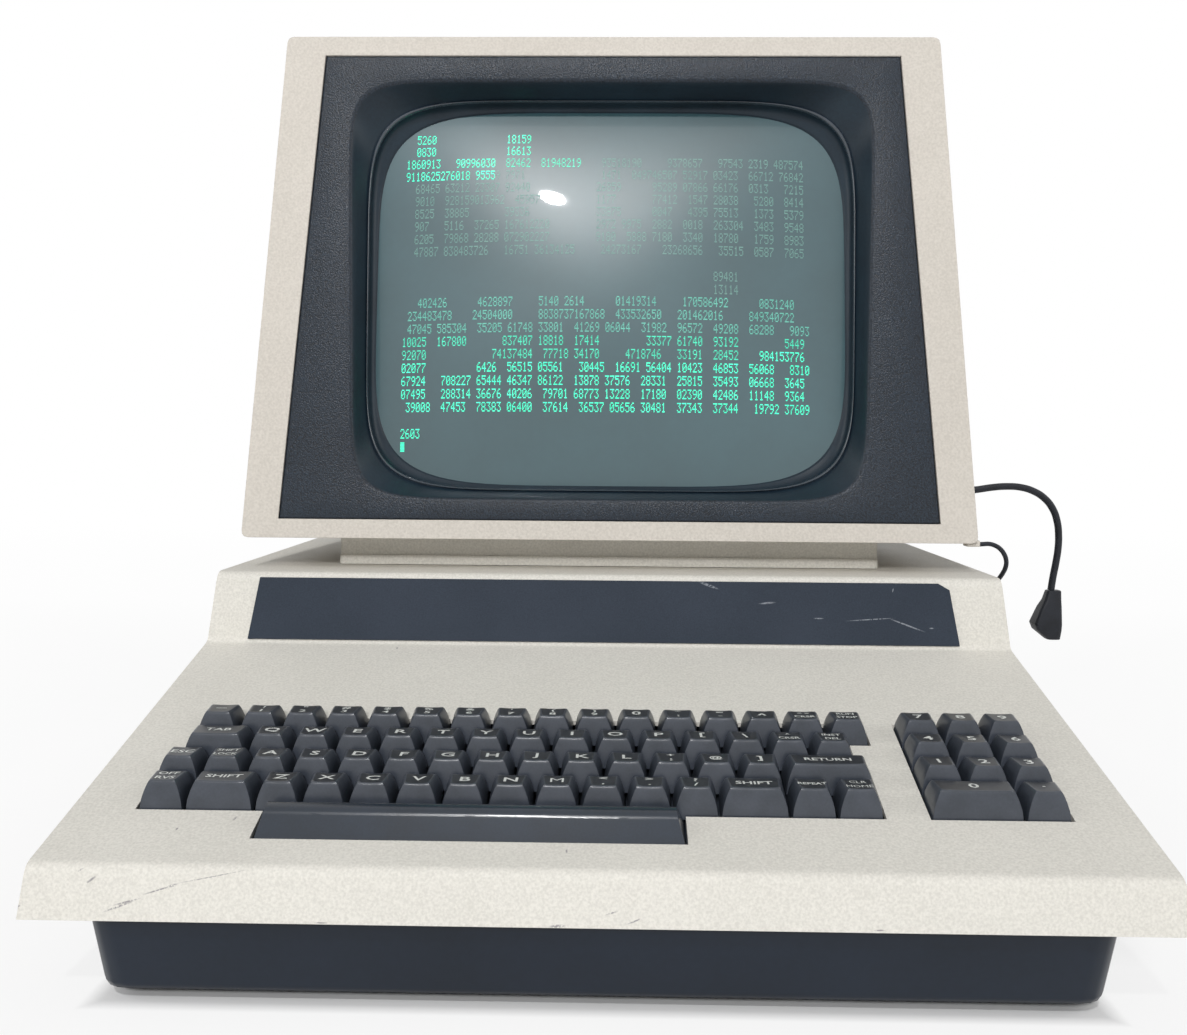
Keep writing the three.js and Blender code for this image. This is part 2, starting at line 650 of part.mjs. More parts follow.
// Space bar: a long cap with a rolled top edge and a tall sloping front
const bar9 = {
  crown: 7.8, nose: 2.4, front: 0.6, back: 5.5, endTaper: 3.4, skinShare: 1.2, frontSkinShare: 1.3, housingHeight: 2,
};
function spaceBar(widthShare) {
  const base = widthShare * keyPitch - key.gap;
  const depth = (keyPitch - key.gap) / 2;
  const head = (inset) => [
    [depth - inset, key.foot, 0], [bar9.back - inset, bar9.crown - inset * bar9.skinShare, bar9.nose - inset / 2],
    [-bar9.front, bar9.crown - inset * bar9.skinShare, bar9.nose - inset / 2],
    [-depth + inset * bar9.frontSkinShare, key.foot, 0],
  ];
  const tail = (inset) => [
    [-depth + inset * bar9.frontSkinShare, key.foot - overrun, 0], [depth - inset, key.foot - overrun, 0],
  ];
  const profile = (inset) => outline([...(inset > 0 ? tail(inset) : []), ...head(inset)], pan.steps);
  const halfAt = (inset) => (z) =>
    base / 2 - inset - bar9.endTaper * Math.max(z - key.foot, 0) / (bar9.crown - key.foot);
  const shell = without(draftedPrism(profile(0), halfAt(0)), [draftedPrism(profile(key.wall), halfAt(key.wall))]);
  const posts = [0, -1, 1].map((side) =>
    postBody(key.stem, postTail, bar9.crown - key.wall, side * key.stabiliserShare * keyPitch));
  return joined([shell, ...posts]);
}

const keyGroup = new THREE.Group();
keyGroup.position.set(0, deckFrontY, deckFrontZ);
keyGroup.rotation.x = deckSlope;
machine.add(keyGroup);

// Every key as [row, centre, width, name]
const allKeys = [layoutShares, keypadShares].flatMap((field) =>
  Object.entries(field).flatMap(([row, entries]) => entries.map((entry) => [Number(row), ...entry])));

function placeKeys() {
  for (const [row, centre, width, name] of allKeys) {
    if (!name) continue;
    const body = row < 0 ? spaceBar(width) : movingKey(width);
    const mesh = piece(name, body, materials.keyPlastic, keyGroup);
    mesh.position.set(key.xAt(centre), key.vAt(row), 0);
  }
}
placeKeys();

// Switch plate: a sheet under the keys with a housing and a square hole at every moving key;
// the keys that stay are moulded onto it by their stems
const plate = { side: 9, near: 30, far: 9, boss: 5, bossSides: 10, bossInset: 7 };
plate.left = key.xAt(fieldLeftShare) - plate.side;
plate.right = key.xAt(fieldRightShare) + plate.side;
plate.front = key.vAt(0) - keyPitch / 2 - plate.near;
plate.back = key.vAt(3) + keyPitch / 2 + plate.far;

function buildKeyboardPlate() {
  const under = key.plateTop - key.plateThickness;
  const parts = [block(at(plate.left, plate.front, under), at(plate.right, plate.back, key.plateTop))];
  const holes = [];
  const hole = key.stem + 2 * key.stemGap;
  const fixedCaps = new Map();
  for (const [row, centre, width, name] of allKeys) {
    const x = key.xAt(centre);
    const v = key.vAt(row);
    if (name) {
      const rise = row < 0 ? bar9.housingHeight : key.housingHeight;
      parts.push(postBody(key.housing, under, key.plateTop + rise).translate([x, v, 0]));
      holes.push(postBody(hole, under - overrun, key.plateTop + key.housingHeight + overrun).translate([x, v, 0]));
      if (row < 0) {
        for (const side of [-1, 1]) {
          const reach = side * key.stabiliserShare * keyPitch;
          holes.push(postBody(hole, under - overrun, key.plateTop + overrun).translate([x + reach, v, 0]));
        }
      }
    } else {
      if (!fixedCaps.has(width)) {
        const stem = postBody(key.housing, under, key.foot + key.wall);
        fixedCaps.set(width, joined([capBody(width, false), stem]));
      }
      parts.push(fixedCaps.get(width).translate([x, v, 0]));
    }
  }
  const bossTop = -lidWall - seatGap;
  for (const x of [plate.left + plate.bossInset, plate.right - plate.bossInset]) {
    for (const v of [plate.front + plate.bossInset, plate.back - plate.bossInset]) {
      parts.push(bar(plate.boss, under, bossTop, plate.bossSides, place(x, v, 0)));
    }
  }
  return without(joined(parts), holes);
}
piece('keyboard_plate', buildKeyboardPlate(), materials.keyPlastic, keyGroup);

// Outline of the deck's cut-outs: the main field steps with its rows, the keypad is a box
function fieldOutline() {
  const reach = (keyPitch - key.gap) / 2 + key.opening;
  const left = (share) => key.xAt(share) + key.gap / 2 - key.opening;
  const right = (share) => key.xAt(share) - key.gap / 2 + key.opening;
  const low = key.vAt(0) - reach;
  const step = (row) => key.vAt(row) - keyPitch / 2;
  const high = key.vAt(3) + reach;
  const notch = key.vAt(-1) - reach;
  return [
    [left(-0.75), low, 0], [left(2), low, 0], [left(2), notch, 0], [right(11), notch, 0], [right(11), low, 0],
    [right(15.25), low, 0], [right(15.25), step(2), 0], [right(15), step(2), 0], [right(15), step(3), 0],
    [right(15.5), step(3), 0], [right(15.5), high, 0], [left(-0.5), high, 0], [left(-0.5), step(2), 0],
    [left(-0.75), step(2), 0],
  ];
}
function keypadOutline() {
  const reach = (keyPitch - key.gap) / 2 + key.opening;
  const side = 0.5 * keyPitch - key.gap / 2 + key.opening;
  return rectangle(key.xAt(keypadStartShare) - side, key.xAt(keypadStartShare + 2) + side,
    key.vAt(0) - reach, key.vAt(3) + reach, 0);
}

// Hinged case: lip, sloped deck, upright panel and flat top, with sides that lean in
const lid = {
  flange: 2, mouthReach: 2, flangeMouthFront: 6, lipBend: 3.5, topBend: 5, footBend: 2.5,
  rearBend: 9, steps: 3, notchRise: 5.6, notchSide: 1, keeperWidth: 18, keeperDepth: 15, keeperFromHinge: 242.5,
  ventCount: 14, ventWidth: 3.4, ventPitch: 12, ventHeight: 34, ventDrop: 22.2, ventCentre: -60,
  cableBehind: 38.5, cableDrop: 10,
};
lid.flangeMouthHalf = panHalf + lid.mouthReach;
lid.keeperY = hinge.y - lid.keeperFromHinge;
lid.ventHead = topZ - lid.ventDrop;
lid.ventFoot = lid.ventHead - lid.ventHeight;
lid.cableY = topFrontY + lid.cableBehind;
lid.cableZ = topZ - lid.cableDrop;
// Side profile as [y, z, bend], with each wall moved in by its own amount
function caseProfile(inset, foot) {
  const slopeShift = inset * Math.tan(deckSlope / 2);
  const lean = Math.atan2(lipSetback, lipRise);
  const panelLean = Math.atan2(panelSetback, panelRise);
  const rearLean = Math.atan2(rearSetback, topZ - lidFoot);
  const lipX = (z) => frontEdge + lipSetback * (z - lidFoot) / lipRise + inset / Math.cos(lean);
  const rearX = (z) => rearEdge - rearSetback * (z - lidFoot) / (topZ - lidFoot) - inset / Math.cos(rearLean);
  const deckZ = (y) => deckFrontZ + (y - deckFrontY) * Math.tan(deckSlope) - inset / Math.cos(deckSlope);
  const panelX = (z) => panelFootY + panelSetback * (z - panelFootZ) / panelRise + inset / Math.cos(panelLean);
  const lipTopY = lipX(deckFrontZ - inset) + slopeShift / 2;
  const footY = panelX(panelFootZ - inset);
  const bend = (radius) => (inset > 0 ? 0 : radius);
  return [
    [lipX(foot), foot, 0], [rearX(foot), foot, 0], [rearX(topZ - inset), topZ - inset, bend(lid.rearBend)],
    [panelX(topZ - inset), topZ - inset, bend(lid.topBend)], [footY, deckZ(footY), bend(lid.footBend)],
    [lipTopY, deckZ(lipTopY), bend(lid.lipBend)],
  ];
}

function knuckles(x) {
  const half = hinge.lugWidth / 2 + hinge.sideGap;
  const wallInner = hinge.y + hinge.inset - lidWall;
  return [-1, 1].flatMap((side) => {
    const near = Math.min(side * half, side * (half + hinge.knuckleWidth));
    const far = Math.max(side * half, side * (half + hinge.knuckleWidth));
    const barrel = bar(hinge.radius, near, far, hinge.sides, alongX(x, hinge.y, hinge.z));
    const web = block(at(x + near, hinge.y, hinge.z), at(x + far, wallInner + lidWall / 3, hinge.z + 2 * hinge.radius));
    const bore = bar(hinge.bore, near - overrun, far + overrun, hinge.sides, alongX(x, hinge.y, hinge.z));
    return [joined([barrel, web]).subtract(bore)];
  });
}

function buildCase() {
  const outer = draftedPrism(outline(caseProfile(0, lidFoot), lid.steps), lidHalfAt);
  const sideWall = lidWall / Math.cos(sideDraft);
  const cavity = draftedPrism(outline(caseProfile(lidWall, lidFoot + lid.flange), lid.steps),
    (z) => lidHalfAt(z) - sideWall);
  const mouthRear = rearEdge - lidWall / Math.cos(Math.atan2(rearSetback, topZ - lidFoot));
  const mouth = block(at(-lid.flangeMouthHalf, frontEdge + lid.flangeMouthFront, lidFoot - overrun),
    at(lid.flangeMouthHalf, mouthRear, lidFoot + lid.flange + lidWall));
  const cuts = [cavity, mouth];
  for (const points of [fieldOutline(), keypadOutline()]) {
    cuts.push(extruded(outline(points, lid.steps), -lidWall - overrun, overrun, deckMatrix));
  }
  for (const x of [-hinge.spread, hinge.spread]) {
    const half = hinge.lugWidth / 2 + lid.notchSide;
    cuts.push(block(at(x - half, rearEdge - lidWall - overrun / 2, lidFoot - overrun),
      at(x + half, rearEdge + overrun, hinge.z + lid.notchRise)));
  }
  for (let i = 0; i < lid.ventCount; i += 1) {
    const x = lid.ventCentre + (i - (lid.ventCount - 1) / 2) * lid.ventPitch;
    cuts.push(block(at(x - lid.ventWidth / 2, rearEdge - rearSetback - lidWall - overrun, lid.ventFoot),
      at(x + lid.ventWidth / 2, rearEdge + overrun, lid.ventHead)));
  }
  const keeper = block(at(-lid.flangeMouthHalf - lid.flange, lid.keeperY - lid.keeperDepth / 2, lidFoot),
    at(-lid.flangeMouthHalf + lid.keeperWidth, lid.keeperY + lid.keeperDepth / 2, lidFoot + lid.flange));
  const shell = without(outer, cuts);
  return joined([shell, keeper, ...knuckles(-hinge.spread), ...knuckles(hinge.spread)]);
}
piece('top_case', buildCase(), materials.cream);

// Bare dark strip across the upright panel, set a little to the left, with one clipped corner
const strip = { low: 1.5, height: 32.7, sideInset: 24.2, slant: 5.6, shift: 2.5, clip: 5.3, clipDrop: 3.4, thickness: 0.9 };
strip.halfAtFoot = lidHalfAt(panelFootZ) - strip.sideInset;
function buildStrip() {
  const lean = Math.atan2(panelSetback, panelRise);
  const halfTop = strip.halfAtFoot - strip.slant;
  const clipFoot = strip.slant * strip.clipDrop / strip.height;
  const points = outline([[-strip.halfAtFoot, 0, 0], [strip.halfAtFoot, 0, 0],
    [halfTop + clipFoot, strip.height - strip.clipDrop, 0], [halfTop - strip.clip, strip.height, 0],
    [-halfTop, strip.height, 0]], lid.steps);
  const face = place(0, panelFootY, panelFootZ).multiply(new THREE.Matrix4().makeRotationX(Math.PI / 2 - lean));
  return extruded(points.map((p) => p.clone().add(new THREE.Vector2(-strip.shift, strip.low))), seatGap,
    seatGap + strip.thickness, face);
}
piece('nameplate', buildStrip(), materials.plate);

// Pedestal between the case and the monitor, with a plinth along its front and back
const pedestal = { sideInset: 47, frontInset: 40.5, rearInset: 54, plinth: 5.2, step: 2.4, radius: 2.8, steps: 3 };
pedestal.half = monitorWidthAtFoot / 2 - pedestal.sideInset;
pedestal.front = topFrontY + pedestal.frontInset;
pedestal.back = rearEdge - pedestal.rearInset;
const monitorFoot = topZ + monitorGap;
function buildPedestal() {
  const ring = (inset, z) => {
    const corners = rectangle(-pedestal.half, pedestal.half, pedestal.front + inset, pedestal.back - inset,
      pedestal.radius);
    return outline(corners, pedestal.steps).map((p) => at(p.x, p.y, z));
  };
  const base = topZ + seatGap;
  return loft([ring(0, base), ring(0, base + pedestal.plinth - pedestal.step / 2),
    ring(pedestal.step / 2, base + pedestal.plinth), ring(pedestal.step, base + pedestal.plinth),
    ring(pedestal.step, monitorFoot - seatGap)]);
}
piece('monitor_pedestal', buildPedestal(), materials.cream);

// Monitor frame: the face leans back; face coordinates are x across and w up the face
const face = {
  y: topFrontY + monitorOverhang,
  depthShare: 0.6148,
  rearFootInset: 13,
  rearHeadInset: 14.8,
  rearDrop: 31,
  wall: 3,
  bend: 4,
  borderAtFoot: 19.4,
  borderAtHead: 22.4,
  borderHead: 11,
  borderFoot: 10.4,
  bezelGap: 0.3,
  bezelSink: 1,
  steps: 3,
};
const monitorDepth = overallDepth / 2 - face.y;
face.depthAtFoot = monitorDepth * face.depthShare;
face.rearFootHalf = monitorWidthAtFoot / 2 - face.rearFootInset;
face.rearHeadHalf = monitorWidthAtTop / 2 - face.rearHeadInset;
face.rearHead = monitorFaceHeight - face.rearDrop;
const faceMatrix = place(0, face.y, monitorFoot).multiply(
  new THREE.Matrix4().makeRotationX(Math.PI / 2 - monitorFaceTilt));
const onFace = (x, w, out) => at(x, w, out).applyMatrix4(faceMatrix);
const faceHalfAt = (w) =>
  (monitorWidthAtFoot + (monitorWidthAtTop - monitorWidthAtFoot) * w / monitorFaceHeight) / 2;

function faceOutline(sideAtFoot, sideAtHead, foot, head, bend) {
  const high = monitorFaceHeight - head;
  const lowHalf = faceHalfAt(foot) - sideAtFoot;
  const highHalf = faceHalfAt(high) - sideAtHead;
  return outline([[-lowHalf, foot, bend], [lowHalf, foot, bend], [highHalf, high, bend],
    [-highHalf, high, bend]], face.steps);
}
function cabinetRear(inset) {
  const foot = monitorFoot + inset;
  const head = monitorFoot + face.rearHead - inset;
  const y = face.y + face.depthAtFoot;
  return outline([[-(face.rearFootHalf - inset), foot, face.bend], [face.rearFootHalf - inset, foot, face.bend],
    [face.rearHeadHalf - inset, head, face.bend], [-(face.rearHeadHalf - inset), head, face.bend]], face.steps)
    .map((p) => at(p.x, y, p.y));
}

// Clamp under the cabinet's right front corner for the thin cable
const clamp = { sideInset: 5.5, reach: 1.6, front: 3, depth: 8, drop: 1.9 };

function buildCabinet() {
  const frontRing = (out, inset) => faceOutline(inset, inset, inset, inset, face.bend).map((p) => onFace(p.x, p.y, out));
  const outer = loft([frontRing(0, 0), cabinetRear(0)]);
  const behind = (ring) => ring.map((p) => p.clone().setY(p.y + overrun));
  const hollow = loft([frontRing(-face.wall, face.wall), cabinetRear(face.wall), behind(cabinetRear(face.wall))]);
  const window = extruded(faceOutline(face.borderAtFoot, face.borderAtHead, face.borderFoot, face.borderHead, 0),
    -face.wall - overrun, overrun, faceMatrix);
  const halfFoot = monitorWidthAtFoot / 2;
  const tab = block(at(halfFoot - clamp.sideInset, face.y + clamp.front, monitorFoot - clamp.drop),
    at(halfFoot + clamp.reach, face.y + clamp.front + clamp.depth, monitorFoot + face.wall / 2));
  return joined([without(outer, [hollow, window]), tab]);
}
piece('monitor_cabinet', buildCabinet(), materials.cream);

// A rounded-square ring: a superellipse of a given squareness in face coordinates
const tubeSteps = 36;
function roundedRing(halfWidth, halfHeight, squareness, centre, out, flare = 0) {
  return Array.from({ length: tubeSteps }, (_, i) => {
    const angle = (i + 0.5) / tubeSteps * 2 * Math.PI;
    const c = Math.cos(angle);
    const s = Math.sin(angle);
    const x = Math.sign(c) * Math.abs(c) ** (2 / squareness) * halfWidth;
    const w = Math.sign(s) * Math.abs(s) ** (2 / squareness) * halfHeight;
    return onFace(x * (1 + flare * w / halfHeight), centre + w, out);
  });
}

// Bezel: a dark moulding with a smooth funnel down to the glass
const funnel = {
  drop: 1.5, sideBorder: 57, endBorder: 24.7, squareness: 10, flare: 0.026, depth: 22, sideSlope: 8.6, endSlope: 8.1,
  glassSquareness: 5, wall: 2.5,
};
funnel.centre = monitorFaceHeight / 2 - funnel.drop;
funnel.halfWidth = monitorWidthAtFoot / 2 - funnel.sideBorder;
funnel.halfHeight = monitorFaceHeight / 2 - funnel.endBorder;
funnel.glassHalfWidth = funnel.halfWidth - funnel.sideSlope;
funnel.glassHalfHeight = funnel.halfHeight - funnel.endSlope;
function buildBezel() {
  const f = funnel;
  const g = face.bezelGap;
  const panel = extruded(faceOutline(face.borderAtFoot + g, face.borderAtHead + g, face.borderFoot + g, face.borderHead + g, 0),
    -face.bezelSink - face.wall, -face.bezelSink, faceMatrix);
  const mouth = roundedRing(f.halfWidth, f.halfHeight, f.squareness, f.centre, -face.bezelSink, f.flare);
  const throat = roundedRing(f.glassHalfWidth, f.glassHalfHeight, f.glassSquareness, f.centre, -f.depth);
  const outerMouth = roundedRing(f.halfWidth + f.wall, f.halfHeight + f.wall, f.squareness, f.centre,
    -face.bezelSink - face.wall / 2, f.flare);
  const outerThroat = roundedRing(f.glassHalfWidth + f.wall, f.glassHalfHeight + f.wall, f.glassSquareness,
    f.centre, -f.depth);
  const before = roundedRing(f.halfWidth, f.halfHeight, f.squareness, f.centre, overrun, f.flare);
  const beyond = roundedRing(f.glassHalfWidth, f.glassHalfHeight, f.glassSquareness, f.centre, -f.depth - overrun);
  const skin = loft([outerMouth, outerThroat]);
  const hole = loft([before, mouth, throat, beyond]);
  return without(joined([panel, skin]), [hole]);
}
piece('monitor_bezel', buildBezel(), materials.darkPlastic);

// Picture tube: a crowned faceplate, a deep skirt, a bell that rounds off and a straight neck
const tube = {
  rim: 2.2, rimDrop: 1, crown: 12, skirt: 16, band: 3, clearance: 71.75, bellShare: 0.6146, neckShare: 0.3229,
  neckRadius: 14.5, socketRadius: 16.5,
};
tube.behindSkirt = monitorDepth - tube.clearance - tube.skirt;
tube.bellDepth = tube.behindSkirt * tube.bellShare;
tube.neckLength = tube.behindSkirt * tube.neckShare;
tube.socketLength = tube.behindSkirt - tube.bellDepth - tube.neckLength;
function tubeRings() {
  const f = funnel;
  const halfW = f.glassHalfWidth + tube.rim;
  const halfH = f.glassHalfHeight + tube.rim;
  const back = -f.depth - seatGap;
  const rings = [];
  const crownShares = [0.12, 0.4, 0.7, 0.88, 0.97];
  for (const share of crownShares) {
    const squareness = THREE.MathUtils.lerp(2, f.glassSquareness, share);
    rings.push(roundedRing(halfW * share, halfH * share, squareness, f.centre,
      back + tube.crown * (1 - share * share)));
  }
  const bellShares = [[0, 1], [0.22, 0.9], [0.5, 0.66], [0.75, 0.4], [0.92, 0.19]];
  rings.push(roundedRing(halfW, halfH, f.glassSquareness, f.centre, back - tube.rimDrop));
  rings.push(roundedRing(halfW + tube.band, halfH + tube.band, f.glassSquareness, f.centre, back - tube.rimDrop - tube.band));
  for (const [along, size] of bellShares) {
    const squareness = THREE.MathUtils.lerp(f.glassSquareness, 2, along);
    rings.push(roundedRing((halfW + tube.band) * size, (halfH + tube.band) * size, squareness, f.centre,
      back - tube.skirt - tube.bellDepth * along));
  }
  const neckFrom = back - tube.skirt - tube.bellDepth;
  const neckTo = neckFrom - tube.neckLength;
  rings.push(roundedRing(tube.neckRadius, tube.neckRadius, 2, f.centre, neckFrom));
  rings.push(roundedRing(tube.neckRadius, tube.neckRadius, 2, f.centre, neckTo));
  rings.push(roundedRing(tube.socketRadius, tube.socketRadius, 2, f.centre, neckTo));
  rings.push(roundedRing(tube.socketRadius, tube.socketRadius, 2, f.centre, neckTo - tube.socketLength));
  return rings;
}
piece('picture_tube', loft(tubeRings()), materials.glass);

// Deflection yoke: a flared collar clamped on the neck
const yoke = { inner: 0.3, frontRadius: 33, rearRadius: 27, lengthShare: 0.5484, ring: 4, sides: 24 };
yoke.length = tube.neckLength * yoke.lengthShare;
function buildYoke() {
  const neckFrom = -funnel.depth - seatGap - tube.skirt - tube.bellDepth;
  const start = neckFrom - yoke.ring;
  const bore = tube.neckRadius + yoke.inner;
  const profile = [[bore, 0], [yoke.frontRadius, 0], [yoke.frontRadius, -yoke.ring],
    [yoke.rearRadius, -yoke.ring * 2], [yoke.rearRadius, -yoke.length + yoke.ring],
    [yoke.frontRadius - yoke.ring, -yoke.length], [bore, -yoke.length], [bore, 0]];
  const points = profile.map(([radius, height]) => new THREE.Vector2(radius, height));
  const lathe = new THREE.LatheGeometry(points, yoke.sides).rotateX(Math.PI / 2);
  return solid(lathe.translate(0, funnel.centre, start).applyMatrix4(faceMatrix));
}
piece('deflection_yoke', buildYoke(), materials.copper);

// Video board on four posts along the cabinet's floor, with its line transformer
const video = {
  leftInset: 36, rightInset: 126, behindFace: 59.75, rearInset: 10.25, thickness: 1.6, level: 8, post: 3.5,
  postInset: 8, postSides: 8, coilInset: 40, coilShare: 0.745, coilRadius: 16, coilHeight: 34, coilSides: 16,
  canInset: 90, canPitch: 30, canCount: 4, canShare: 0.53, canRadius: 7, canHeight: 24,
};
video.left = video.leftInset - face.rearFootHalf;
video.right = face.rearFootHalf - video.rightInset;
video.front = face.y + video.behindFace;
video.back = face.y + face.depthAtFoot - video.rearInset;
video.coilX = video.left + video.coilInset;
video.coilY = THREE.MathUtils.lerp(video.front, video.back, video.coilShare);
video.canX = Array.from({ length: video.canCount }, (_, i) => video.left + video.canInset + i * video.canPitch);
video.canY = THREE.MathUtils.lerp(video.front, video.back, video.canShare);
function buildVideoBoard() {
  const v = video;
  const floor = monitorFoot + face.wall;
  const under = floor + v.level;
  const top = under + v.thickness;
  const sheet = block(at(v.left, v.front, under), at(v.right, v.back, top));
  const posts = [v.left + v.postInset, v.right - v.postInset].flatMap((x) =>
    [v.front + v.postInset, v.back - v.postInset].map((y) =>
      bar(v.post, floor + seatGap, under + v.thickness / 2, v.postSides, place(x, y, 0))));
  const coil = bar(v.coilRadius, under + v.thickness / 2, top + v.coilHeight, v.coilSides, place(v.coilX, v.coilY, 0));
  const cans = v.canX.map((x) =>
    bar(v.canRadius, under + v.thickness / 2, top + v.canHeight, v.coilSides, place(x, v.canY, 0)));
  return joined([sheet, coil, ...posts, ...cans]);
}
piece('video_board', buildVideoBoard(), materials.board);

// Rear cover: a dark shell that closes the cabinet and narrows round the neck, with slots
const cover = {
  flange: 0.3, midShare: 0.62, midFootStep: 36, midHeadStep: 30, midFoot: 22, midDrop: 30, endFootStep: 68,
  endHeadStep: 60, endFoot: 34, endDrop: 46, bend: 10, wall: 3, slotCount: 11, slotPitch: 17, slotWidth: 4,
  slotFoot: 70, slotDrop: 30, knobInset: 26, knobZ: 50, knobHole: 4.2,
};
cover.midHalfFoot = face.rearFootHalf - cover.midFootStep;
cover.midHalfHead = face.rearHeadHalf - cover.midHeadStep;
cover.midHead = face.rearHead - cover.midDrop;
cover.endHalfFoot = face.rearFootHalf - cover.endFootStep;
cover.endHalfHead = face.rearHeadHalf - cover.endHeadStep;
cover.endHead = face.rearHead - cover.endDrop;
cover.slotHead = cover.endHead - cover.slotDrop;
cover.knobX = cover.endHalfFoot - cover.knobInset;
cover.front = face.y + face.depthAtFoot + cover.flange;
cover.end = overallDepth / 2;
function coverRing(y, halfFoot, halfHead, foot, head, bend, inset) {
  return outline([[-(halfFoot - inset), foot + inset, bend], [halfFoot - inset, foot + inset, bend],
    [halfHead - inset, head - inset, bend], [-(halfHead - inset), head - inset, bend]], face.steps)
    .map((p) => at(p.x, y, monitorFoot + p.y));
}
function coverRings(inset, frontShift, endShift) {
  const c = cover;
  const depth = c.end - c.front;
  return [
    coverRing(c.front + frontShift, face.rearFootHalf, face.rearHeadHalf, 0, face.rearHead, face.bend, inset),
    coverRing(c.front + depth * c.midShare, c.midHalfFoot, c.midHalfHead, c.midFoot, c.midHead, c.bend, inset),
    coverRing(c.end + endShift, c.endHalfFoot, c.endHalfHead, c.endFoot, c.endHead, c.bend, inset),
  ];
}
function buildCover() {
  const c = cover;
  const outer = loft(coverRings(0, 0, 0));
  const inner = loft(coverRings(c.wall, -overrun, -c.wall));
  const cuts = [inner];
  for (let i = 0; i < c.slotCount; i += 1) {
    const x = (i - (c.slotCount - 1) / 2) * c.slotPitch;
    cuts.push(block(at(x - c.slotWidth / 2, c.end - c.wall - overrun, monitorFoot + c.slotFoot),
      at(x + c.slotWidth / 2, c.end + overrun, monitorFoot + c.slotHead)));
  }
  cuts.push(bar(c.knobHole, -c.wall - overrun, overrun, hinge.sides, alongY(c.knobX, c.end, monitorFoot + c.knobZ)));
  return without(outer, cuts);
}

// Brightness knob on a short shaft through the rear cover
const knob = { radius: 9, length: 11, shaft: 3.4, tail: 14, bevel: 1.2, flutes: 12, flute: 1.1 };
function buildKnob() {
  const k = knob;
  const profile = [[0, -k.tail], [k.shaft, -k.tail], [k.shaft, 0], [k.radius, 0],
    [k.radius, k.length - k.bevel], [k.radius - k.bevel, k.length], [0, k.length]];
  const axle = alongY(cover.knobX, cover.end - knob.length, monitorFoot + cover.knobZ);
  const body = turned(profile, k.flutes * 2, axle);
  const flutes = Array.from({ length: k.flutes }, (_, i) => {
    const angle = i / k.flutes * 2 * Math.PI;
    const x = cover.knobX + Math.cos(angle) * (k.radius + k.flute / 2);
    const z = monitorFoot + cover.knobZ + Math.sin(angle) * (k.radius + k.flute / 2);
    return bar(k.flute, -k.length, k.length + overrun, stay.sides - 2, alongY(x, cover.end - k.length, z));
  });
  return without(body, flutes);
}

// The cover's end wall is set in by the knob's length, so that nothing passes the footprint
cover.end -= knob.length + seatGap;
const coverBody = buildCover();
piece('monitor_rear_cover', coverBody, materials.darkPlastic);
cover.end += knob.length + seatGap;
piece('brightness_knob', buildKnob(), materials.rubber);

// Cords: a tube along a smooth curve through hand-set points
const cordSides = 8;
function cordBody(points, diameter, steps) {
  const curve = new THREE.CatmullRomCurve3(points, false, 'centripetal');
  const section = new THREE.Shape();
  for (let i = 0; i < cordSides; i += 1) {
    const angle = (i + 0.5) / cordSides * 2 * Math.PI;
    const x = Math.cos(angle) * diameter / 2;
    const y = Math.sin(angle) * diameter / 2;
    if (i === 0) section.moveTo(x, y);
    else section.lineTo(x, y);
  }
  section.closePath();
  return solid(new THREE.ExtrudeGeometry(section, { steps, extrudePath: curve, bevelEnabled: false }));
}

// Lead that leaves the cabinet's right side by a tapered relief and hangs to its connector
const lead = {
  alongShare: 0.7863, rise: 21.5, diameter: 4.5, reliefLength: 22, reliefRoot: 5.4, reliefTip: 3, reliefFlange: 7.4,
  flangeLength: 3, steps: 34,
};
lead.y = face.y + face.depthAtFoot * lead.alongShare;
lead.exitZ = monitorFoot + lead.rise;
lead.nearY = lead.y - lead.reliefFlange;
lead.lowZ = lead.exitZ - lead.reliefFlange;
lead.sideX = THREE.MathUtils.lerp(monitorWidthAtFoot / 2, face.rearFootHalf, (lead.nearY - face.y) / face.depthAtFoot)
  - (lead.lowZ - monitorFoot) * (monitorWidthAtFoot - monitorWidthAtTop) / 2 / monitorFaceHeight;
lead.startX = lead.sideX + lead.flangeLength + lead.reliefLength + 2 * seatGap;
const leadPoints = [
  [0, 0, 0], [7.9, 0, 0.4], [15.9, 0, 1.2], [23.9, 0, 2.2], [32.9, 0, 3.6], [41.9, 0, 4.3], [50.9, 0.1, 3.8],
  [59.5, 0.2, 1.3], [66.9, 0.4, -3.4], [72.3, 0.7, -10], [75.5, 1.1, -18], [76.9, 1.5, -27], [77, 2, -36],
  [76.1, 2.5, -45], [74.8, 3, -54], [73.8, 3.4, -62.8],
].map(([x, y, z]) => at(lead.startX + x, lead.y + y, lead.exitZ + z));
piece('hanging_lead', cordBody(leadPoints, lead.diameter, lead.steps), materials.rubber);

function buildRelief() {
  const r = lead;
  const profile = [[0, 0], [r.reliefFlange, 0], [r.reliefFlange, r.flangeLength],
    [r.reliefRoot, r.flangeLength], [r.reliefTip, r.flangeLength + r.reliefLength],
    [0, r.flangeLength + r.reliefLength]];
  return turned(profile, hinge.sides, alongX(r.sideX + seatGap, r.y, r.exitZ));
}
piece('lead_relief', buildRelief(), materials.rubber);

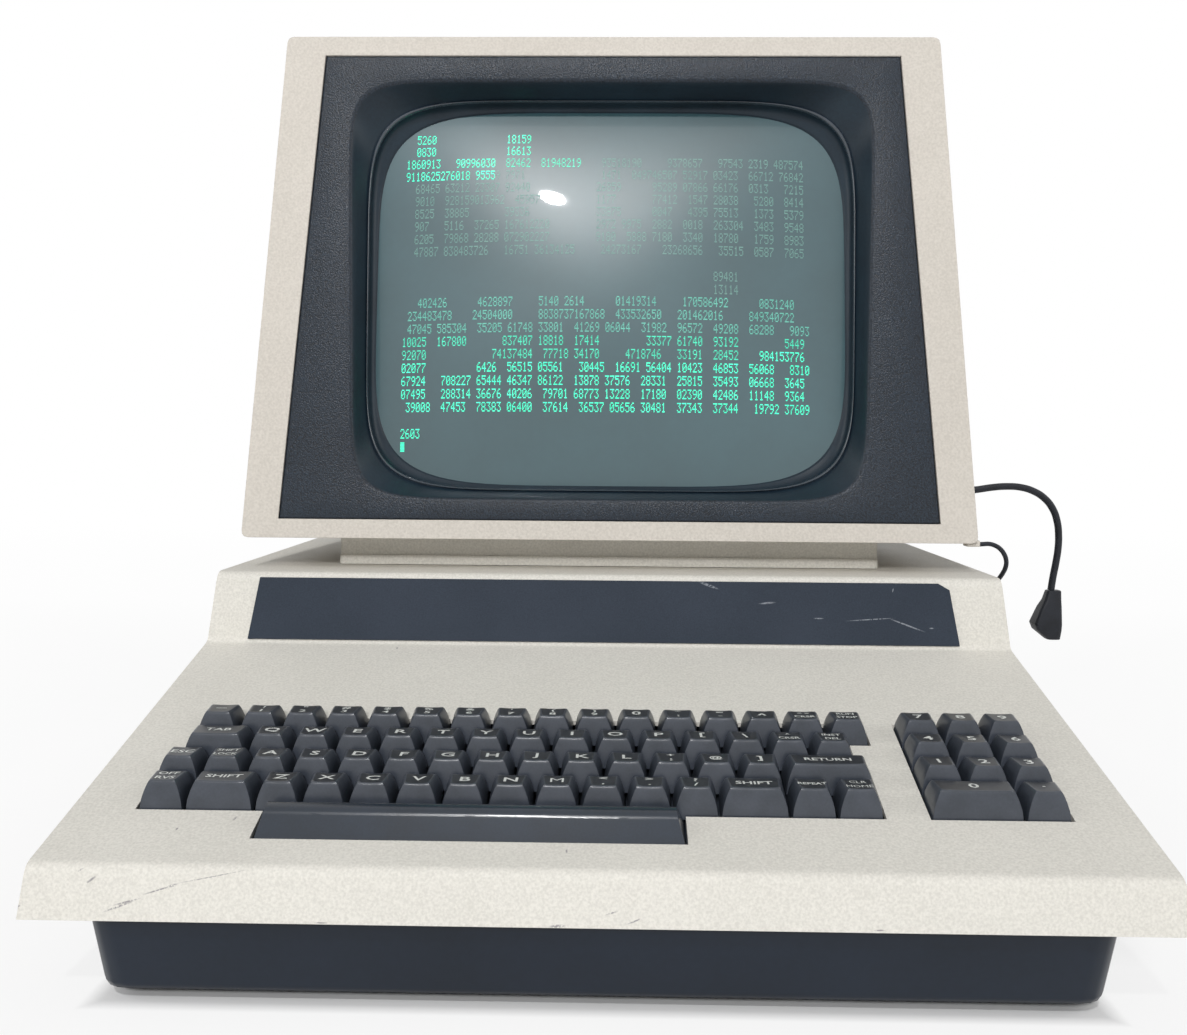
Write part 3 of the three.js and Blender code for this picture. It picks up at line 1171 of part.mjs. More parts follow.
// Moulded connector: straight at its back, swelling forward to the grip and drawn in at its nose.
// Each section holds its drop below the lead's end, its reach forward and its depth
const connector = {
  sections: [[0.3, 3.1, 8], [6.5, 4.9, 9.6], [11.5, 7.6, 12], [21.9, 11.7, 15], [26, 10.1, 14], [32.4, 2.5, 9]],
  back: 5.9, bend: 2.6,
};
function buildConnector() {
  const end = leadPoints[leadPoints.length - 1];
  return loft(connector.sections.map(([drop, reach, depth]) =>
    outline(rectangle(-reach, connector.back, -depth / 2, depth / 2, connector.bend), face.steps)
      .map((p) => at(end.x + p.x, end.y + p.y, end.z - drop))));
}
piece('lead_connector', buildConnector(), materials.rubber);

// Thin cable that loops from the clamp to the side of the case
const thin = { diameter: 2.5, behindFace: 7.25, drop: 0.9, steps: 26 };
const thinStartX = monitorWidthAtFoot / 2 + clamp.reach + seatGap;
const thinEndX = lidHalfAt(lid.cableZ) + seatGap + thin.diameter * Math.tan(sideDraft) / 2;
const thinPoints = [
  [0, 0, 0], [2.6, 0, 0.2], [5.8, 0, 0.3], [8.8, 0, -0.5], [11.6, 0.1, -2.2], [14.1, 0.3, -5.3], [15.5, 1, -8.8],
  [15.8, 2.5, -12.3], [15.5, 5.9, -16], [15, 9.9, -19.2], [14.1, 13.9, -22], [12.7, 17.2, -24.3], [10.9, 19.1, -25.8],
].map(([x, y, z]) => at(thinStartX + x, face.y + thin.behindFace + y, monitorFoot - thin.drop + z));
thinPoints.push(at(thinEndX, lid.cableY, lid.cableZ));
piece('monitor_cable', cordBody(thinPoints, thin.diameter, thin.steps), materials.rubber);

export default machine;
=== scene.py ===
import math
import random

import bmesh
import bpy
from mathutils import Matrix, Vector
from mathutils.bvhtree import BVHTree


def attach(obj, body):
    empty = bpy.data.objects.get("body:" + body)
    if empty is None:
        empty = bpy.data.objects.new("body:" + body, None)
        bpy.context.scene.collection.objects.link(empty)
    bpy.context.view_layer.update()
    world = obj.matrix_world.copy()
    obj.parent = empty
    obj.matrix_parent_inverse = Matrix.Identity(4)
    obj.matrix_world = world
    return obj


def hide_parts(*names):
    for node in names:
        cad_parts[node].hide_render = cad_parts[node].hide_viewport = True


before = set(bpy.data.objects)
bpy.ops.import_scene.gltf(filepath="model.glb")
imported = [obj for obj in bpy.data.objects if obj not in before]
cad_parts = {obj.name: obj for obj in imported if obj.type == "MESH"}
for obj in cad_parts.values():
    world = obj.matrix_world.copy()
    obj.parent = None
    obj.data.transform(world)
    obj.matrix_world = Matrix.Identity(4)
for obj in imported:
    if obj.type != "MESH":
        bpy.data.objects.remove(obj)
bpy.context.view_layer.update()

# The camera: a little under seven tenths of a metre in front of the table's middle, level with the
# lower rows of the screen. It looks back and slightly down, and is turned a hair to the left.
eye = Vector((0.00534, -0.68231, 0.22095))
yaw, pitch, roll = math.radians(-1.15), math.radians(3.81), math.radians(-0.42)
ahead = Vector((math.sin(yaw) * math.cos(pitch), math.cos(yaw) * math.cos(pitch), -math.sin(pitch)))
across = Vector((math.cos(yaw), -math.sin(yaw), 0))
under = ahead.cross(across)
across, under = (across * math.cos(roll) + under * math.sin(roll),
                 under * math.cos(roll) - across * math.sin(roll))
camera_data = bpy.data.cameras.new("camera")
camera_data.sensor_fit = "HORIZONTAL"
camera_data.sensor_width = 36
camera_data.lens = 36.51
camera_data.clip_start = 0.01
camera = bpy.data.objects.new("camera", camera_data)
bpy.context.scene.collection.objects.link(camera)
turned = Matrix((across, -under, -ahead)).transposed().to_4x4()
camera.matrix_world = Matrix.Translation(eye) @ turned
bpy.context.scene.camera = camera
bpy.context.scene.view_settings.view_transform = "Standard"


# The monitor's lead: a round black rubber flex that leaves the cabinet's right side through a
# tapered relief, bends over under its own weight and hangs, with a moulded connector on its end.
def tone(code):
    """A colour written as six hexadecimal digits, in linear light."""
    parts = [int(code[i:i + 2], 16) / 255 for i in (0, 2, 4)]
    return [p / 12.92 if p <= 0.04045 else ((p + 0.055) / 1.055) ** 2.4 for p in parts] + [1.0]


def surface(name, dark, light, rough, patch=0.03, grain=0.0008, depth=0.00002, fine=0.35,
            even=False, **sockets):
    """A finish whose colour wanders between two tones, in patches and in a fine grain that also
    stands up from the surface. patch, grain and depth are in metres, and fine is the grain's
    share of the colour. The gloss wanders with the patches unless it is even."""
    finish = bpy.data.materials.new(name)
    finish.use_nodes = True
    tree = finish.node_tree
    shader = tree.nodes["Principled BSDF"]
    place = tree.nodes.new("ShaderNodeTexCoord")
    noises = []
    for size, detail in ((patch, 5), (grain, 2)):
        noise = tree.nodes.new("ShaderNodeTexNoise")
        noise.inputs["Scale"].default_value = 1 / size
        noise.inputs["Detail"].default_value = detail
        tree.links.new(place.outputs["Object"], noise.inputs["Vector"])
        noises.append(noise.outputs["Fac"])
    patches, grains = noises
    blend = tree.nodes.new("ShaderNodeMix")
    blend.inputs["Factor"].default_value = fine
    tree.links.new(patches, blend.inputs["A"])
    tree.links.new(grains, blend.inputs["B"])
    ramp = tree.nodes.new("ShaderNodeValToRGB")
    ramp.name = "tones"
    ramp.color_ramp.elements[0].position = 0.36
    ramp.color_ramp.elements[0].color = tone(dark)
    ramp.color_ramp.elements[1].position = 0.64
    ramp.color_ramp.elements[1].color = tone(light)
    tree.links.new(blend.outputs["Result"], ramp.inputs["Fac"])
    tree.links.new(ramp.outputs["Color"], shader.inputs["Base Color"])
    if even:
        shader.inputs["Roughness"].default_value = rough
    else:
        gloss = tree.nodes.new("ShaderNodeMapRange")
        gloss.inputs["To Min"].default_value = rough * 1.15
        gloss.inputs["To Max"].default_value = rough * 0.85
        tree.links.new(patches, gloss.inputs["Value"])
        tree.links.new(gloss.outputs["Result"], shader.inputs["Roughness"])
    bump = tree.nodes.new("ShaderNodeBump")
    bump.inputs["Distance"].default_value = depth
    tree.links.new(grains, bump.inputs["Height"])
    tree.links.new(bump.outputs["Normal"], shader.inputs["Normal"])
    for socket, value in sockets.items():
        shader.inputs[socket.replace("_", " ")].default_value = value
    return finish


def flex(name, route, diameter, finish):
    """A cord: one smooth round spline through its route, and its length."""
    curve = bpy.data.curves.new(name, "CURVE")
    curve.dimensions = "3D"
    curve.bevel_depth = diameter / 2
    curve.bevel_resolution = 5
    curve.resolution_u = 5
    curve.use_fill_caps = True
    spline = curve.splines.new("BEZIER")
    spline.bezier_points.add(len(route) - 1)
    for point, place in zip(spline.bezier_points, route):
        point.co = place
        point.handle_left_type = point.handle_right_type = "AUTO"
    curve.materials.append(finish)
    cord = bpy.data.objects.new(name, curve)
    bpy.context.scene.collection.objects.link(cord)
    return cord, spline.calc_length(resolution=32)


def made(name, form, body, finishes, crease=32):
    """A finished piece from a bmesh: its faces smooth, its edges sharp past the crease."""
    mesh = bpy.data.meshes.new(name)
    form.to_mesh(mesh)
    form.free()
    mesh.shade_smooth()
    mesh.set_sharp_from_angle(angle=math.radians(crease))
    for finish in finishes:
        mesh.materials.append(finish)
    thing = bpy.data.objects.new(name, mesh)
    bpy.context.scene.collection.objects.link(thing)
    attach(thing, body)
    return thing


def solid_of(node):
    """A copy of a node's solid as whole faces instead of loose triangles."""
    form = bmesh.new()
    form.from_mesh(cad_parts[node].data)
    bmesh.ops.remove_doubles(form, verts=form.verts, dist=0.00001)
    bmesh.ops.dissolve_limit(form, angle_limit=math.radians(0.6), verts=form.verts,
                             edges=form.edges)
    return form


def ease(form, edge, crease=40):
    """Rounds the sharp outer edges of a form by a small radius."""
    sharp = [e for e in form.edges if len(e.link_faces) == 2 and e.is_convex
             and e.calc_face_angle() > math.radians(crease)]
    bmesh.ops.bevel(form, geom=sharp, offset=edge, offset_type="OFFSET", affect="EDGES",
                    segments=2, profile=0.5, material=-1, clamp_overlap=True)


def dressed(node, body, finish, edge, crease=40):
    """A CAD node's shape with eased edges and its own finish, standing for that node."""
    form = solid_of(node)
    ease(form, edge, crease)
    thing = made(node + "_form", form, body, [finish])
    flat = thing.modifiers.new("flat", "WEIGHTED_NORMAL")
    flat.weight = 100
    flat.keep_sharp = True
    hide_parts(node)
    return thing


rubber = surface("black_rubber", "14161b", "20232a", rough=0.5, patch=0.012, grain=0.0005,
                 Specular_IOR_Level=0.35)
lead_route = [(0.21413, 0.0995, 0.187), (0.222, 0.0995, 0.1874), (0.23, 0.0995, 0.1882),
              (0.238, 0.0995, 0.1892), (0.247, 0.0995, 0.1906), (0.256, 0.0995, 0.1913),
              (0.265, 0.0996, 0.1908), (0.2736, 0.0997, 0.1883), (0.281, 0.0999, 0.1836),
              (0.2864, 0.1002, 0.177), (0.2896, 0.1006, 0.169), (0.291, 0.101, 0.16),
              (0.2911, 0.1015, 0.151), (0.2902, 0.102, 0.142), (0.2889, 0.1025, 0.133),
              (0.2879, 0.1029, 0.1242)]
lead, lead_length = flex("lead_flex", lead_route, diameter=0.0045, finish=rubber)
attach(lead, "case")
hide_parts("hanging_lead")
dressed("lead_relief", "case", rubber, edge=0.0002)
connector = dressed("lead_connector", "case", rubber, edge=0.0006, crease=35)

# The thin cable: a thin round black flex with a rubber jacket. It loops out from the clamp under
# the cabinet's right front corner and runs back and down into the side of the case.
cable_route = [(0.2009, -0.0285, 0.1646), (0.2035, -0.0285, 0.1648), (0.2067, -0.0285, 0.1649),
               (0.2097, -0.0285, 0.1641), (0.2125, -0.0284, 0.1624), (0.215, -0.0282, 0.1593),
               (0.2164, -0.0275, 0.1558), (0.2167, -0.026, 0.1523), (0.2164, -0.0226, 0.1486),
               (0.2162, -0.0206, 0.147), (0.2159, -0.0186, 0.1454), (0.215, -0.0146, 0.1426),
               (0.2136, -0.0113, 0.1403), (0.2118, -0.0094, 0.1388), (0.2093, -0.00905, 0.1382)]
cable, cable_length = flex("thin_flex", cable_route, diameter=0.0025, finish=rubber)
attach(cable, "case")
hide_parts("monitor_cable")


# The room: a white floor that keeps a soft shadow, with a painted soft shade round the machine, an
# even white sky, one small bright ceiling lamp that the glass mirrors, and broad soft light from
# the front and from both sides.
def where_white(tree):
    """1 for the rays of the camera, of mirrors and of glass, 0 for those that light the object."""
    rays = tree.nodes.new("ShaderNodeLightPath")
    total = rays.outputs["Is Camera Ray"]
    for kind in ("Is Glossy Ray", "Is Transmission Ray"):
        add = tree.nodes.new("ShaderNodeMath")
        add.operation = "ADD"
        add.use_clamp = True
        tree.links.new(total, add.inputs[0])
        tree.links.new(rays.outputs[kind], add.inputs[1])
        total = add.outputs[0]
    return total


def math_of(tree, operation, a, b=None):
    """The output of a Math node fed with numbers or with other outputs."""
    node = tree.nodes.new("ShaderNodeMath")
    node.operation = operation
    for value, socket in ((a, node.inputs[0]), (b, node.inputs[1])):
        if isinstance(value, (int, float)):
            socket.default_value = value
        elif value is not None:
            tree.links.new(value, socket)
    return node.outputs[0]


floor_half = 12
floor_grey = 0.9
floor_mesh = bpy.data.meshes.new("floor")
sheet = bmesh.new()
bmesh.ops.create_grid(sheet, x_segments=1, y_segments=1, size=floor_half)
sheet.to_mesh(floor_mesh)
sheet.free()
floor = bpy.data.objects.new("floor", floor_mesh)
bpy.context.scene.collection.objects.link(floor)
floor_paint = bpy.data.materials.new("floor")
floor_paint.use_nodes = True
tree = floor_paint.node_tree
shader = tree.nodes["Principled BSDF"]
shader.inputs["Base Color"].default_value = (floor_grey, floor_grey, floor_grey, 1)
shader.inputs["Roughness"].default_value = 0.9
glow = tree.nodes.new("ShaderNodeEmission")
# the floor's own white grows with the distance from the pan's outline: it is off under the pan, so
# the rendered shadow shows there, and its slow rise round the machine paints a soft shade about it
pan_half_x, pan_half_y = 0.1911, 0.226
white_start, white_end = -0.02, 1.98
white_and_painted_shade_stops = ((0.0119, 0.0), (0.0129, 0.78), (0.1, 0.9), (0.35, 0.97))
place = tree.nodes.new("ShaderNodeTexCoord")
split = tree.nodes.new("ShaderNodeSeparateXYZ")
tree.links.new(place.outputs["Object"], split.inputs[0])
apart_x = math_of(tree, "SUBTRACT", math_of(tree, "ABSOLUTE", split.outputs["X"]), pan_half_x)
apart_y = math_of(tree, "SUBTRACT", math_of(tree, "ABSOLUTE", split.outputs["Y"]), pan_half_y)
share = tree.nodes.new("ShaderNodeMapRange")
share.inputs["From Min"].default_value = white_start
share.inputs["From Max"].default_value = white_end
tree.links.new(math_of(tree, "MAXIMUM", apart_x, apart_y), share.inputs["Value"])
ramp = tree.nodes.new("ShaderNodeValToRGB")
ramp.color_ramp.elements[0].color = (0, 0, 0, 1)
ramp.color_ramp.elements[1].color = (1, 1, 1, 1)
for position, level in white_and_painted_shade_stops:
    ramp.color_ramp.elements.new(position).color = (level, level, level, 1)
tree.links.new(share.outputs["Result"], ramp.inputs["Fac"])
whiteness = math_of(tree, "MULTIPLY", where_white(tree), ramp.outputs["Color"])
mix = tree.nodes.new("ShaderNodeMixShader")
tree.links.new(whiteness, mix.inputs[0])
tree.links.new(shader.outputs[0], mix.inputs[1])
tree.links.new(glow.outputs[0], mix.inputs[2])
tree.links.new(mix.outputs[0], tree.nodes["Material Output"].inputs["Surface"])
floor_mesh.materials.append(floor_paint)

sky_strength = 0.2
world = bpy.data.worlds.new("sky")
bpy.context.scene.world = world
world.use_nodes = True
tree = world.node_tree
sky = tree.nodes["Background"]
sky.inputs["Color"].default_value = (1, 1, 1, 1)
sky.inputs["Strength"].default_value = sky_strength
white = tree.nodes.new("ShaderNodeBackground")
white.inputs["Color"].default_value = (1, 1, 1, 1)
mix = tree.nodes.new("ShaderNodeMixShader")
tree.links.new(where_white(tree), mix.inputs[0])
tree.links.new(sky.outputs[0], mix.inputs[1])
tree.links.new(white.outputs[0], mix.inputs[2])
tree.links.new(mix.outputs[0], tree.nodes["World Output"].inputs["Surface"])

# each lamp: where it stands, what it is aimed at, its width, its power and whether gloss shows it
for name, place, aim, size, watts, mirrored in (
        ("lamp_ceiling", (-0.307, -2.604, 2.595), (0, -0.04, 0.3), 0.145, 34, True),
        ("lamp_front", (-0.28, -2.55, 1.31), (0, 0, 0.2), 0.4, 35, False),
        ("lamp_left", (-2.4, -0.6, 1.6), (0, 0, 0.2), 1.2, 8, True),
        ("lamp_right", (2.4, -0.6, 1.6), (0, 0, 0.2), 1.2, 8, True)):
    lamp = bpy.data.lights.new(name, "AREA")
    lamp.shape = "DISK"
    lamp.size = size
    lamp.energy = watts
    stand = bpy.data.objects.new(name, lamp)
    bpy.context.scene.collection.objects.link(stand)
    stand.location = place
    stand.rotation_euler = (Vector(aim) - Vector(place)).to_track_quat("-Z", "Y").to_euler()
    stand.visible_glossy = mirrored

# The feet: four low round bumpers of black rubber, pressed on under the corners of the base pan.
# They lift it off the table by a thin dark gap.
for node in ("foot_front_left", "foot_front_right", "foot_rear_left", "foot_rear_right"):
    dressed(node, "base", rubber, edge=0.0004)

# The base pan: a deep pressed steel tray with drafted walls and rounded corners, painted a smooth
# dark blue grey. The narrow rim round its outside carries the case.
pan_paint = surface("pan_paint", "0d1723", "141f2d", rough=0.3, patch=0.08, grain=0.003, fine=0.2,
                    Specular_IOR_Level=0.3, Coat_Weight=0.1, Coat_Roughness=0.15)
dressed("base_pan", "base", pan_paint, edge=0.0006)

# The logic board: a green laminate with rows of black chips and sockets, and edge connectors that
# face the ports in the rear wall. It is screwed to bosses on the pan's floor.
board_green = surface("board_green", "1f5a37", "2f7a4b", rough=0.45, patch=0.02, grain=0.0012,
                      Coat_Weight=0.3)
black_plastic = surface("black_plastic", "111216", "1a1c21", rough=0.38, patch=0.02, grain=0.0006)


def board(node, body, parts):
    """A circuit board: green laminate below, its parts in their own finish above the laminate."""
    form = solid_of(node)
    widest = max(form.faces, key=lambda face: face.calc_area() * (face.normal.z > 0.9))
    laminate = widest.calc_center_median().z
    for face in form.faces:
        face.material_index = 1 if face.calc_center_median().z > laminate + 0.0002 else 0
    ease(form, edge=0.0002)
    thing = made(node + "_form", form, body, [board_green, parts])
    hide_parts(node)


board("main_board", "base", black_plastic)

# The power supply: a transformer wound on a stack of steel sheets, and beside it the smoothing
# capacitor, an aluminium can in a blue sleeve. Both are screwed to the pan's floor.
steel = surface("bright_steel", "8f9294", "b4b6b8", rough=0.32, patch=0.02, grain=0.0006,
                Metallic=1.0)
can_blue = surface("sleeve_blue", "28549a", "3563ab", rough=0.35, patch=0.03, grain=0.001)
dressed("transformer", "base", steel, edge=0.0006)
dressed("filter_capacitor", "base", can_blue, edge=0.0004)

# On the pan's rear wall: the slotted cap of the fuse holder, turned from black plastic, and the
# ribbed rubber gland of the supply lead, pushed into its hole.
dressed("fuse_cap", "base", black_plastic, edge=0.0003)
dressed("mains_gland", "base", rubber, edge=0.0003)

# The hinge: two plated steel brackets riveted inside the rear wall. Each has a lug with a pin on
# which two knuckles of the case turn.
dressed("hinge_bracket_left", "base", steel, edge=0.0003)
dressed("hinge_bracket_right", "base", steel, edge=0.0003)

# The power switch: a black plastic rocker that tips in its opening in the rear wall, about a pin
# across it.
dressed("power_rocker", "switch", black_plastic, edge=0.0004)

# The stay: a steel rod whose eye turns on an ear at the pan's left. It follows the case up, and
# its tip bears under a keeper there.
dressed("prop_rod", "stay", steel, edge=0.0003)


# The case: one pale shell, hinged along its rear edge. A short lip, a sloped deck with stepped
# cut-outs, an upright panel and a flat top, all in a fine spattered texture paint that years of
# use have scuffed along the lip.

# how far a worn mark reaches to the front and back, and the size of the paint's flecks
mark_reach = 0.004
fleck_size = 1 / 1100


def marked(finish, colour, marks, strength):
    """Adds worn marks to a finish: each is a slender spot at a place, turned about Y by an angle in
    degrees, with a length and a width in metres, broken up by the grain of the paint."""
    tree = finish.node_tree
    place = tree.nodes.new("ShaderNodeTexCoord")
    total = 0.0
    for x, y, z, turn, length, width in marks:
        spot = tree.nodes.new("ShaderNodeMapping")
        spot.vector_type = "TEXTURE"
        spot.inputs["Location"].default_value = (x, y, z)
        spot.inputs["Rotation"].default_value = (0, math.radians(-turn), 0)
        spot.inputs["Scale"].default_value = (length / 2, mark_reach, width / 2)
        tree.links.new(place.outputs["Object"], spot.inputs["Vector"])
        reach = tree.nodes.new("ShaderNodeVectorMath")
        reach.operation = "LENGTH"
        tree.links.new(spot.outputs[0], reach.inputs[0])
        fade = tree.nodes.new("ShaderNodeMapRange")
        fade.inputs["From Min"].default_value = 1.0
        fade.inputs["From Max"].default_value = 0.4
        tree.links.new(reach.outputs["Value"], fade.inputs["Value"])
        total = math_of(tree, "MAXIMUM", total, fade.outputs["Result"])
    broken = tree.nodes.new("ShaderNodeTexNoise")
    broken.inputs["Scale"].default_value = 1 / fleck_size
    tree.links.new(place.outputs["Object"], broken.inputs["Vector"])
    flecks = tree.nodes.new("ShaderNodeMapRange")
    flecks.inputs["From Min"].default_value = 0.34
    flecks.inputs["From Max"].default_value = 0.5
    tree.links.new(broken.outputs["Fac"], flecks.inputs["Value"])
    worn = math_of(tree, "MULTIPLY", total, flecks.outputs["Result"])
    paint = tree.nodes.new("ShaderNodeMix")
    paint.data_type = "RGBA"
    tree.links.new(math_of(tree, "MULTIPLY", worn, strength), paint.inputs["Factor"])
    tree.links.new(tree.nodes["tones"].outputs["Color"], paint.inputs["A"])
    paint.inputs["B"].default_value = tone(colour)
    tree.links.new(paint.outputs["Result"], tree.nodes["Principled BSDF"].inputs["Base Color"])


cream = surface("texture_paint", "d2cfc7", "e2dfd7", rough=0.62, patch=0.05, grain=0.0011,
                depth=0.0001, fine=0.8, Specular_IOR_Level=0.3)
marked(cream, "6a6570", [
    (-0.1925, -0.2422, 0.0527, 37, 0.0058, 0.0012), (-0.1968, -0.2418, 0.0561, 30, 0.003, 0.0008),
    (-0.1815, -0.243, 0.0432, 20, 0.014, 0.001), (-0.1785, -0.2428, 0.0449, 15, 0.012, 0.0009),
    (-0.1665, -0.2425, 0.0494, 17, 0.014, 0.0008), (-0.1615, -0.2424, 0.051, 18, 0.005, 0.0013),
    (-0.146, -0.242, 0.0545, 11, 0.032, 0.0005), (-0.2199, -0.2433, 0.0428, 5, 0.0026, 0.0011),
    (0.0044, -0.2432, 0.0435, 18, 0.0055, 0.0008), (0.0133, -0.2435, 0.0408, 21, 0.008, 0.0008),
    (-0.016, -0.2439, 0.0385, 4, 0.007, 0.0015), (-0.1045, -0.2437, 0.0384, 0, 0.006, 0.0007),
    (0.104, -0.2437, 0.0388, 2, 0.005, 0.0007), (-0.0132, -0.2282, 0.0616, 0, 0.0011, 0.0011),
    (-0.1686, -0.2173, 0.0646, 0, 0.0011, 0.0009), (-0.1478, -0.2103, 0.0667, 20, 0.0016, 0.0009),
    (-0.1097, -0.0594, 0.1099, 0, 0.0012, 0.001)], strength=0.7)
dressed("top_case", "case", cream, edge=0.0007)

# The dark strip across the upright panel: a thin satin foil, glued on a little to the left, bare,
# with a clipped corner and pale scratches toward its right end.
strip_blue = surface("strip_foil", "252d38", "303844", rough=0.42, patch=0.06, grain=0.0007,
                     fine=0.5, Specular_IOR_Level=0.3)
marked(strip_blue, "b9bec6", [
    (0.0535, -0.0492, 0.1435, -20, 0.013, 0.0016), (0.0845, -0.0504, 0.1345, 5, 0.01, 0.0012),
    (0.1115, -0.0517, 0.1268, 0, 0.006, 0.0008), (0.1385, -0.0517, 0.1265, 4, 0.028, 0.0007),
    (0.1577, -0.052, 0.1237, -20, 0.022, 0.001), (0.1505, -0.0493, 0.1418, 80, 0.003, 0.0007),
    (0.1705, -0.0521, 0.1223, 0, 0.003, 0.0008)], strength=0.5)
dressed("nameplate", "case", strip_blue, edge=0.0002)

# The keyboard: 73 caps on a switch plate under the deck. Each cap is a dark glossy moulding with a
# long sloping front, bowed sides and a dished top that falls to the rear, with pale legends. The
# top is coloured with a darker copy of the caps' plastic, as painted shade. The letter keys and the
# bar press down; the others are one piece with the plate.
key_pitch = 0.01905
key_gap = 0.00095
deck_slope = math.radians(16)
deck = Matrix.Translation((0, -0.2404, 0.0578)) @ Matrix.Rotation(deck_slope, 4, "X")
# a cap about its centre: its top runs from front to back, and its foot reaches further out
top_front, top_back = -0.0036, 0.0084
foot_front, foot_back, foot_side = 0.00545, 0.00065, 0.0037
top_widening = 0.0011
top_height, top_fall = 0.01, 0.0026
dish_front, dish_growth = 0.0002, 0.00015
skirt = 0.002
cap_corner = 0.0008
cap_wall = 0.0012
front_bow, side_bow = 1.25, 1.9
crown_inset = 0.0008
legend_middle = 0.0024
legend_proud = 0.0001
legend_weight = 0.018
# one outline of a cap after another: its fall from the top's edge to the foot, how far it is
# drawn in, and how far it drops
cap_outlines = ((0, 0.0004, 0.00006), (0.01, 0.00015, 0.00012), (0.05, 0.00003, 0.0001),
                (0.1, 0, 0), (0.2, 0, 0), (0.36, 0, 0), (0.6, 0, 0), (1, 0, 0))
key_plastic = surface("key_plastic", "30353d", "3d424b", rough=0.3, patch=0.01, grain=0.0009,
                      depth=0.00001, fine=0.3, Specular_IOR_Level=0.6)
# the tops: the caps' own plastic made darker, a painted shade for tops that catch less light
key_crown = surface("key_crown", "1d2025", "262a30", rough=0.34, patch=0.01, grain=0.0009,
                    depth=0.00001, fine=0.3, Specular_IOR_Level=0.4)
legend_paint = surface("legend", "cdd0cc", "e4e6e2", rough=0.5, patch=0.004, grain=0.0004)


def grown(form, edges, lay):
    """Extrudes an open loop of edges and lays each new corner by the unit place it remembers."""
    unit = form.verts.layers.float_vector["unit"]
    fresh = set(v for v in bmesh.ops.extrude_edge_only(form, edges=edges)["geom"]
                if isinstance(v, bmesh.types.BMVert))
    for v in fresh:
        v.co = lay(v[unit])
    return [e for e in form.edges
            if e.verts[0] in fresh and e.verts[1] in fresh and e.is_boundary]


def top_half(width, along):
    """Half the width of a cap's top, at a share of the way from its front to its back."""
    return width / 2 - foot_side + top_widening * along


def dish_at(along, aside):
    """How deep a cap's top is dished, at a share of the way back and of the way to its side."""
    return (dish_front + dish_growth * along) * max(0, 1 - aside * aside)


def cap_form(width):
    """A key cap about its centre, its height measured from the deck: 10 mm proud in front."""
    form = bmesh.new()
    unit = form.verts.layers.float_vector.new("unit")
    bmesh.ops.create_grid(form, x_segments=8 if width < 0.03 else 12, y_segments=8, size=1)
    for v in form.verts:
        v[unit] = v.co.copy()
    shade_painted_top_faces = set(form.faces)

    def ring(fall, inset, drop):
        def lay(u):
            near = top_front - foot_front * (1 - (1 - fall) ** front_bow) + inset
            far = top_back + foot_back * fall - inset
            y = (near + far) / 2 + u.y * (far - near) / 2
            along = min(max((y - top_front) / (top_back - top_front), 0), 1)
            top = top_half(width, along)
            half = top + (width / 2 - top) * (1 - (1 - fall) ** side_bow) - inset
            x = u.x * half
            core_x = max(-half + cap_corner, min(half - cap_corner, x))
            core_y = max(near + cap_corner, min(far - cap_corner, y))
            out = Vector((x - core_x, y - core_y, 0))
            if out.length > 0 and (abs(u.x) > 0.99 or abs(u.y) > 0.99):
                out = out.normalized() * cap_corner
            rest = top_height - top_fall * along
            dish = dish_at(along, u.x) * max(0, 1 - 4 * fall)
            return Vector((core_x + out.x, core_y + out.y,
                           rest - (rest + skirt) * fall - drop - dish))
        return lay

    lay_top = ring(fall=0, inset=crown_inset, drop=0)
    for v in form.verts:
        v.co = lay_top(v[unit])
    loop = [e for e in form.edges if e.is_boundary]
    for fall, inset, drop in cap_outlines:
        loop = grown(form, loop, ring(fall, inset, drop))
    for face in form.faces:
        # the top faces take the darker plastic, as painted shade
        face.material_index = 1 if face in shade_painted_top_faces else 0
    bmesh.ops.recalc_face_normals(form, faces=form.faces)
    bmesh.ops.solidify(form, geom=form.faces, thickness=cap_wall)
    return form


def legend(form, words, size, stretch, spacing, width):
    """Adds pale letters to a cap's top: real outlines that follow the dish, just proud of it."""
    text = bpy.data.curves.new("legend", "FONT")
    text.body = words
    text.size = size
    text.align_x = text.align_y = "CENTER"
    text.space_line = spacing
    text.resolution_u = 2
    # thickened a little, apart from the M, whose gaps would fill up
    text.offset = 0 if "M" in words else size * legend_weight
    holder = bpy.data.objects.new("legend", text)
    bpy.context.scene.collection.objects.link(holder)
    bpy.context.view_layer.update()
    letters = bpy.data.meshes.new_from_object(holder)
    bpy.data.objects.remove(holder)
    heights = [p.co.y for p in letters.vertices]
    middle = (min(heights) + max(heights)) / 2
    for p in letters.vertices:
        x, y = p.co.x * stretch, legend_middle + p.co.y - middle
        along = (y - top_front) / (top_back - top_front)
        dish = dish_at(along, x / top_half(width, along))
        p.co = Vector((x, y, top_height - top_fall * along - dish + legend_proud))
    before = set(form.faces)
    form.from_mesh(letters)
    bpy.data.meshes.remove(letters)
    for face in form.faces:
        if face not in before:
            face.material_index = 2


# how letters are set, by the number of lines and of letters in the longest: size, stretch, spacing
setting = {(1, 1): (0.0068, 1.3, 1), (1, 3): (0.0048, 1.3, 1), (1, 5): (0.0049, 1.25, 1),
           (1, 6): (0.0034, 1.05, 1), (2, 1): (0.0046, 1.4, 1.1), (2, 3): (0.0042, 1.2, 1.2),
           (2, 4): (0.0038, 1.05, 1.3), (2, 5): (0.0036, 1.05, 1.35)}
own_setting = {"RETURN": (0.0047, 1.15, 1), "@": (0.005, 1.15, 1)}
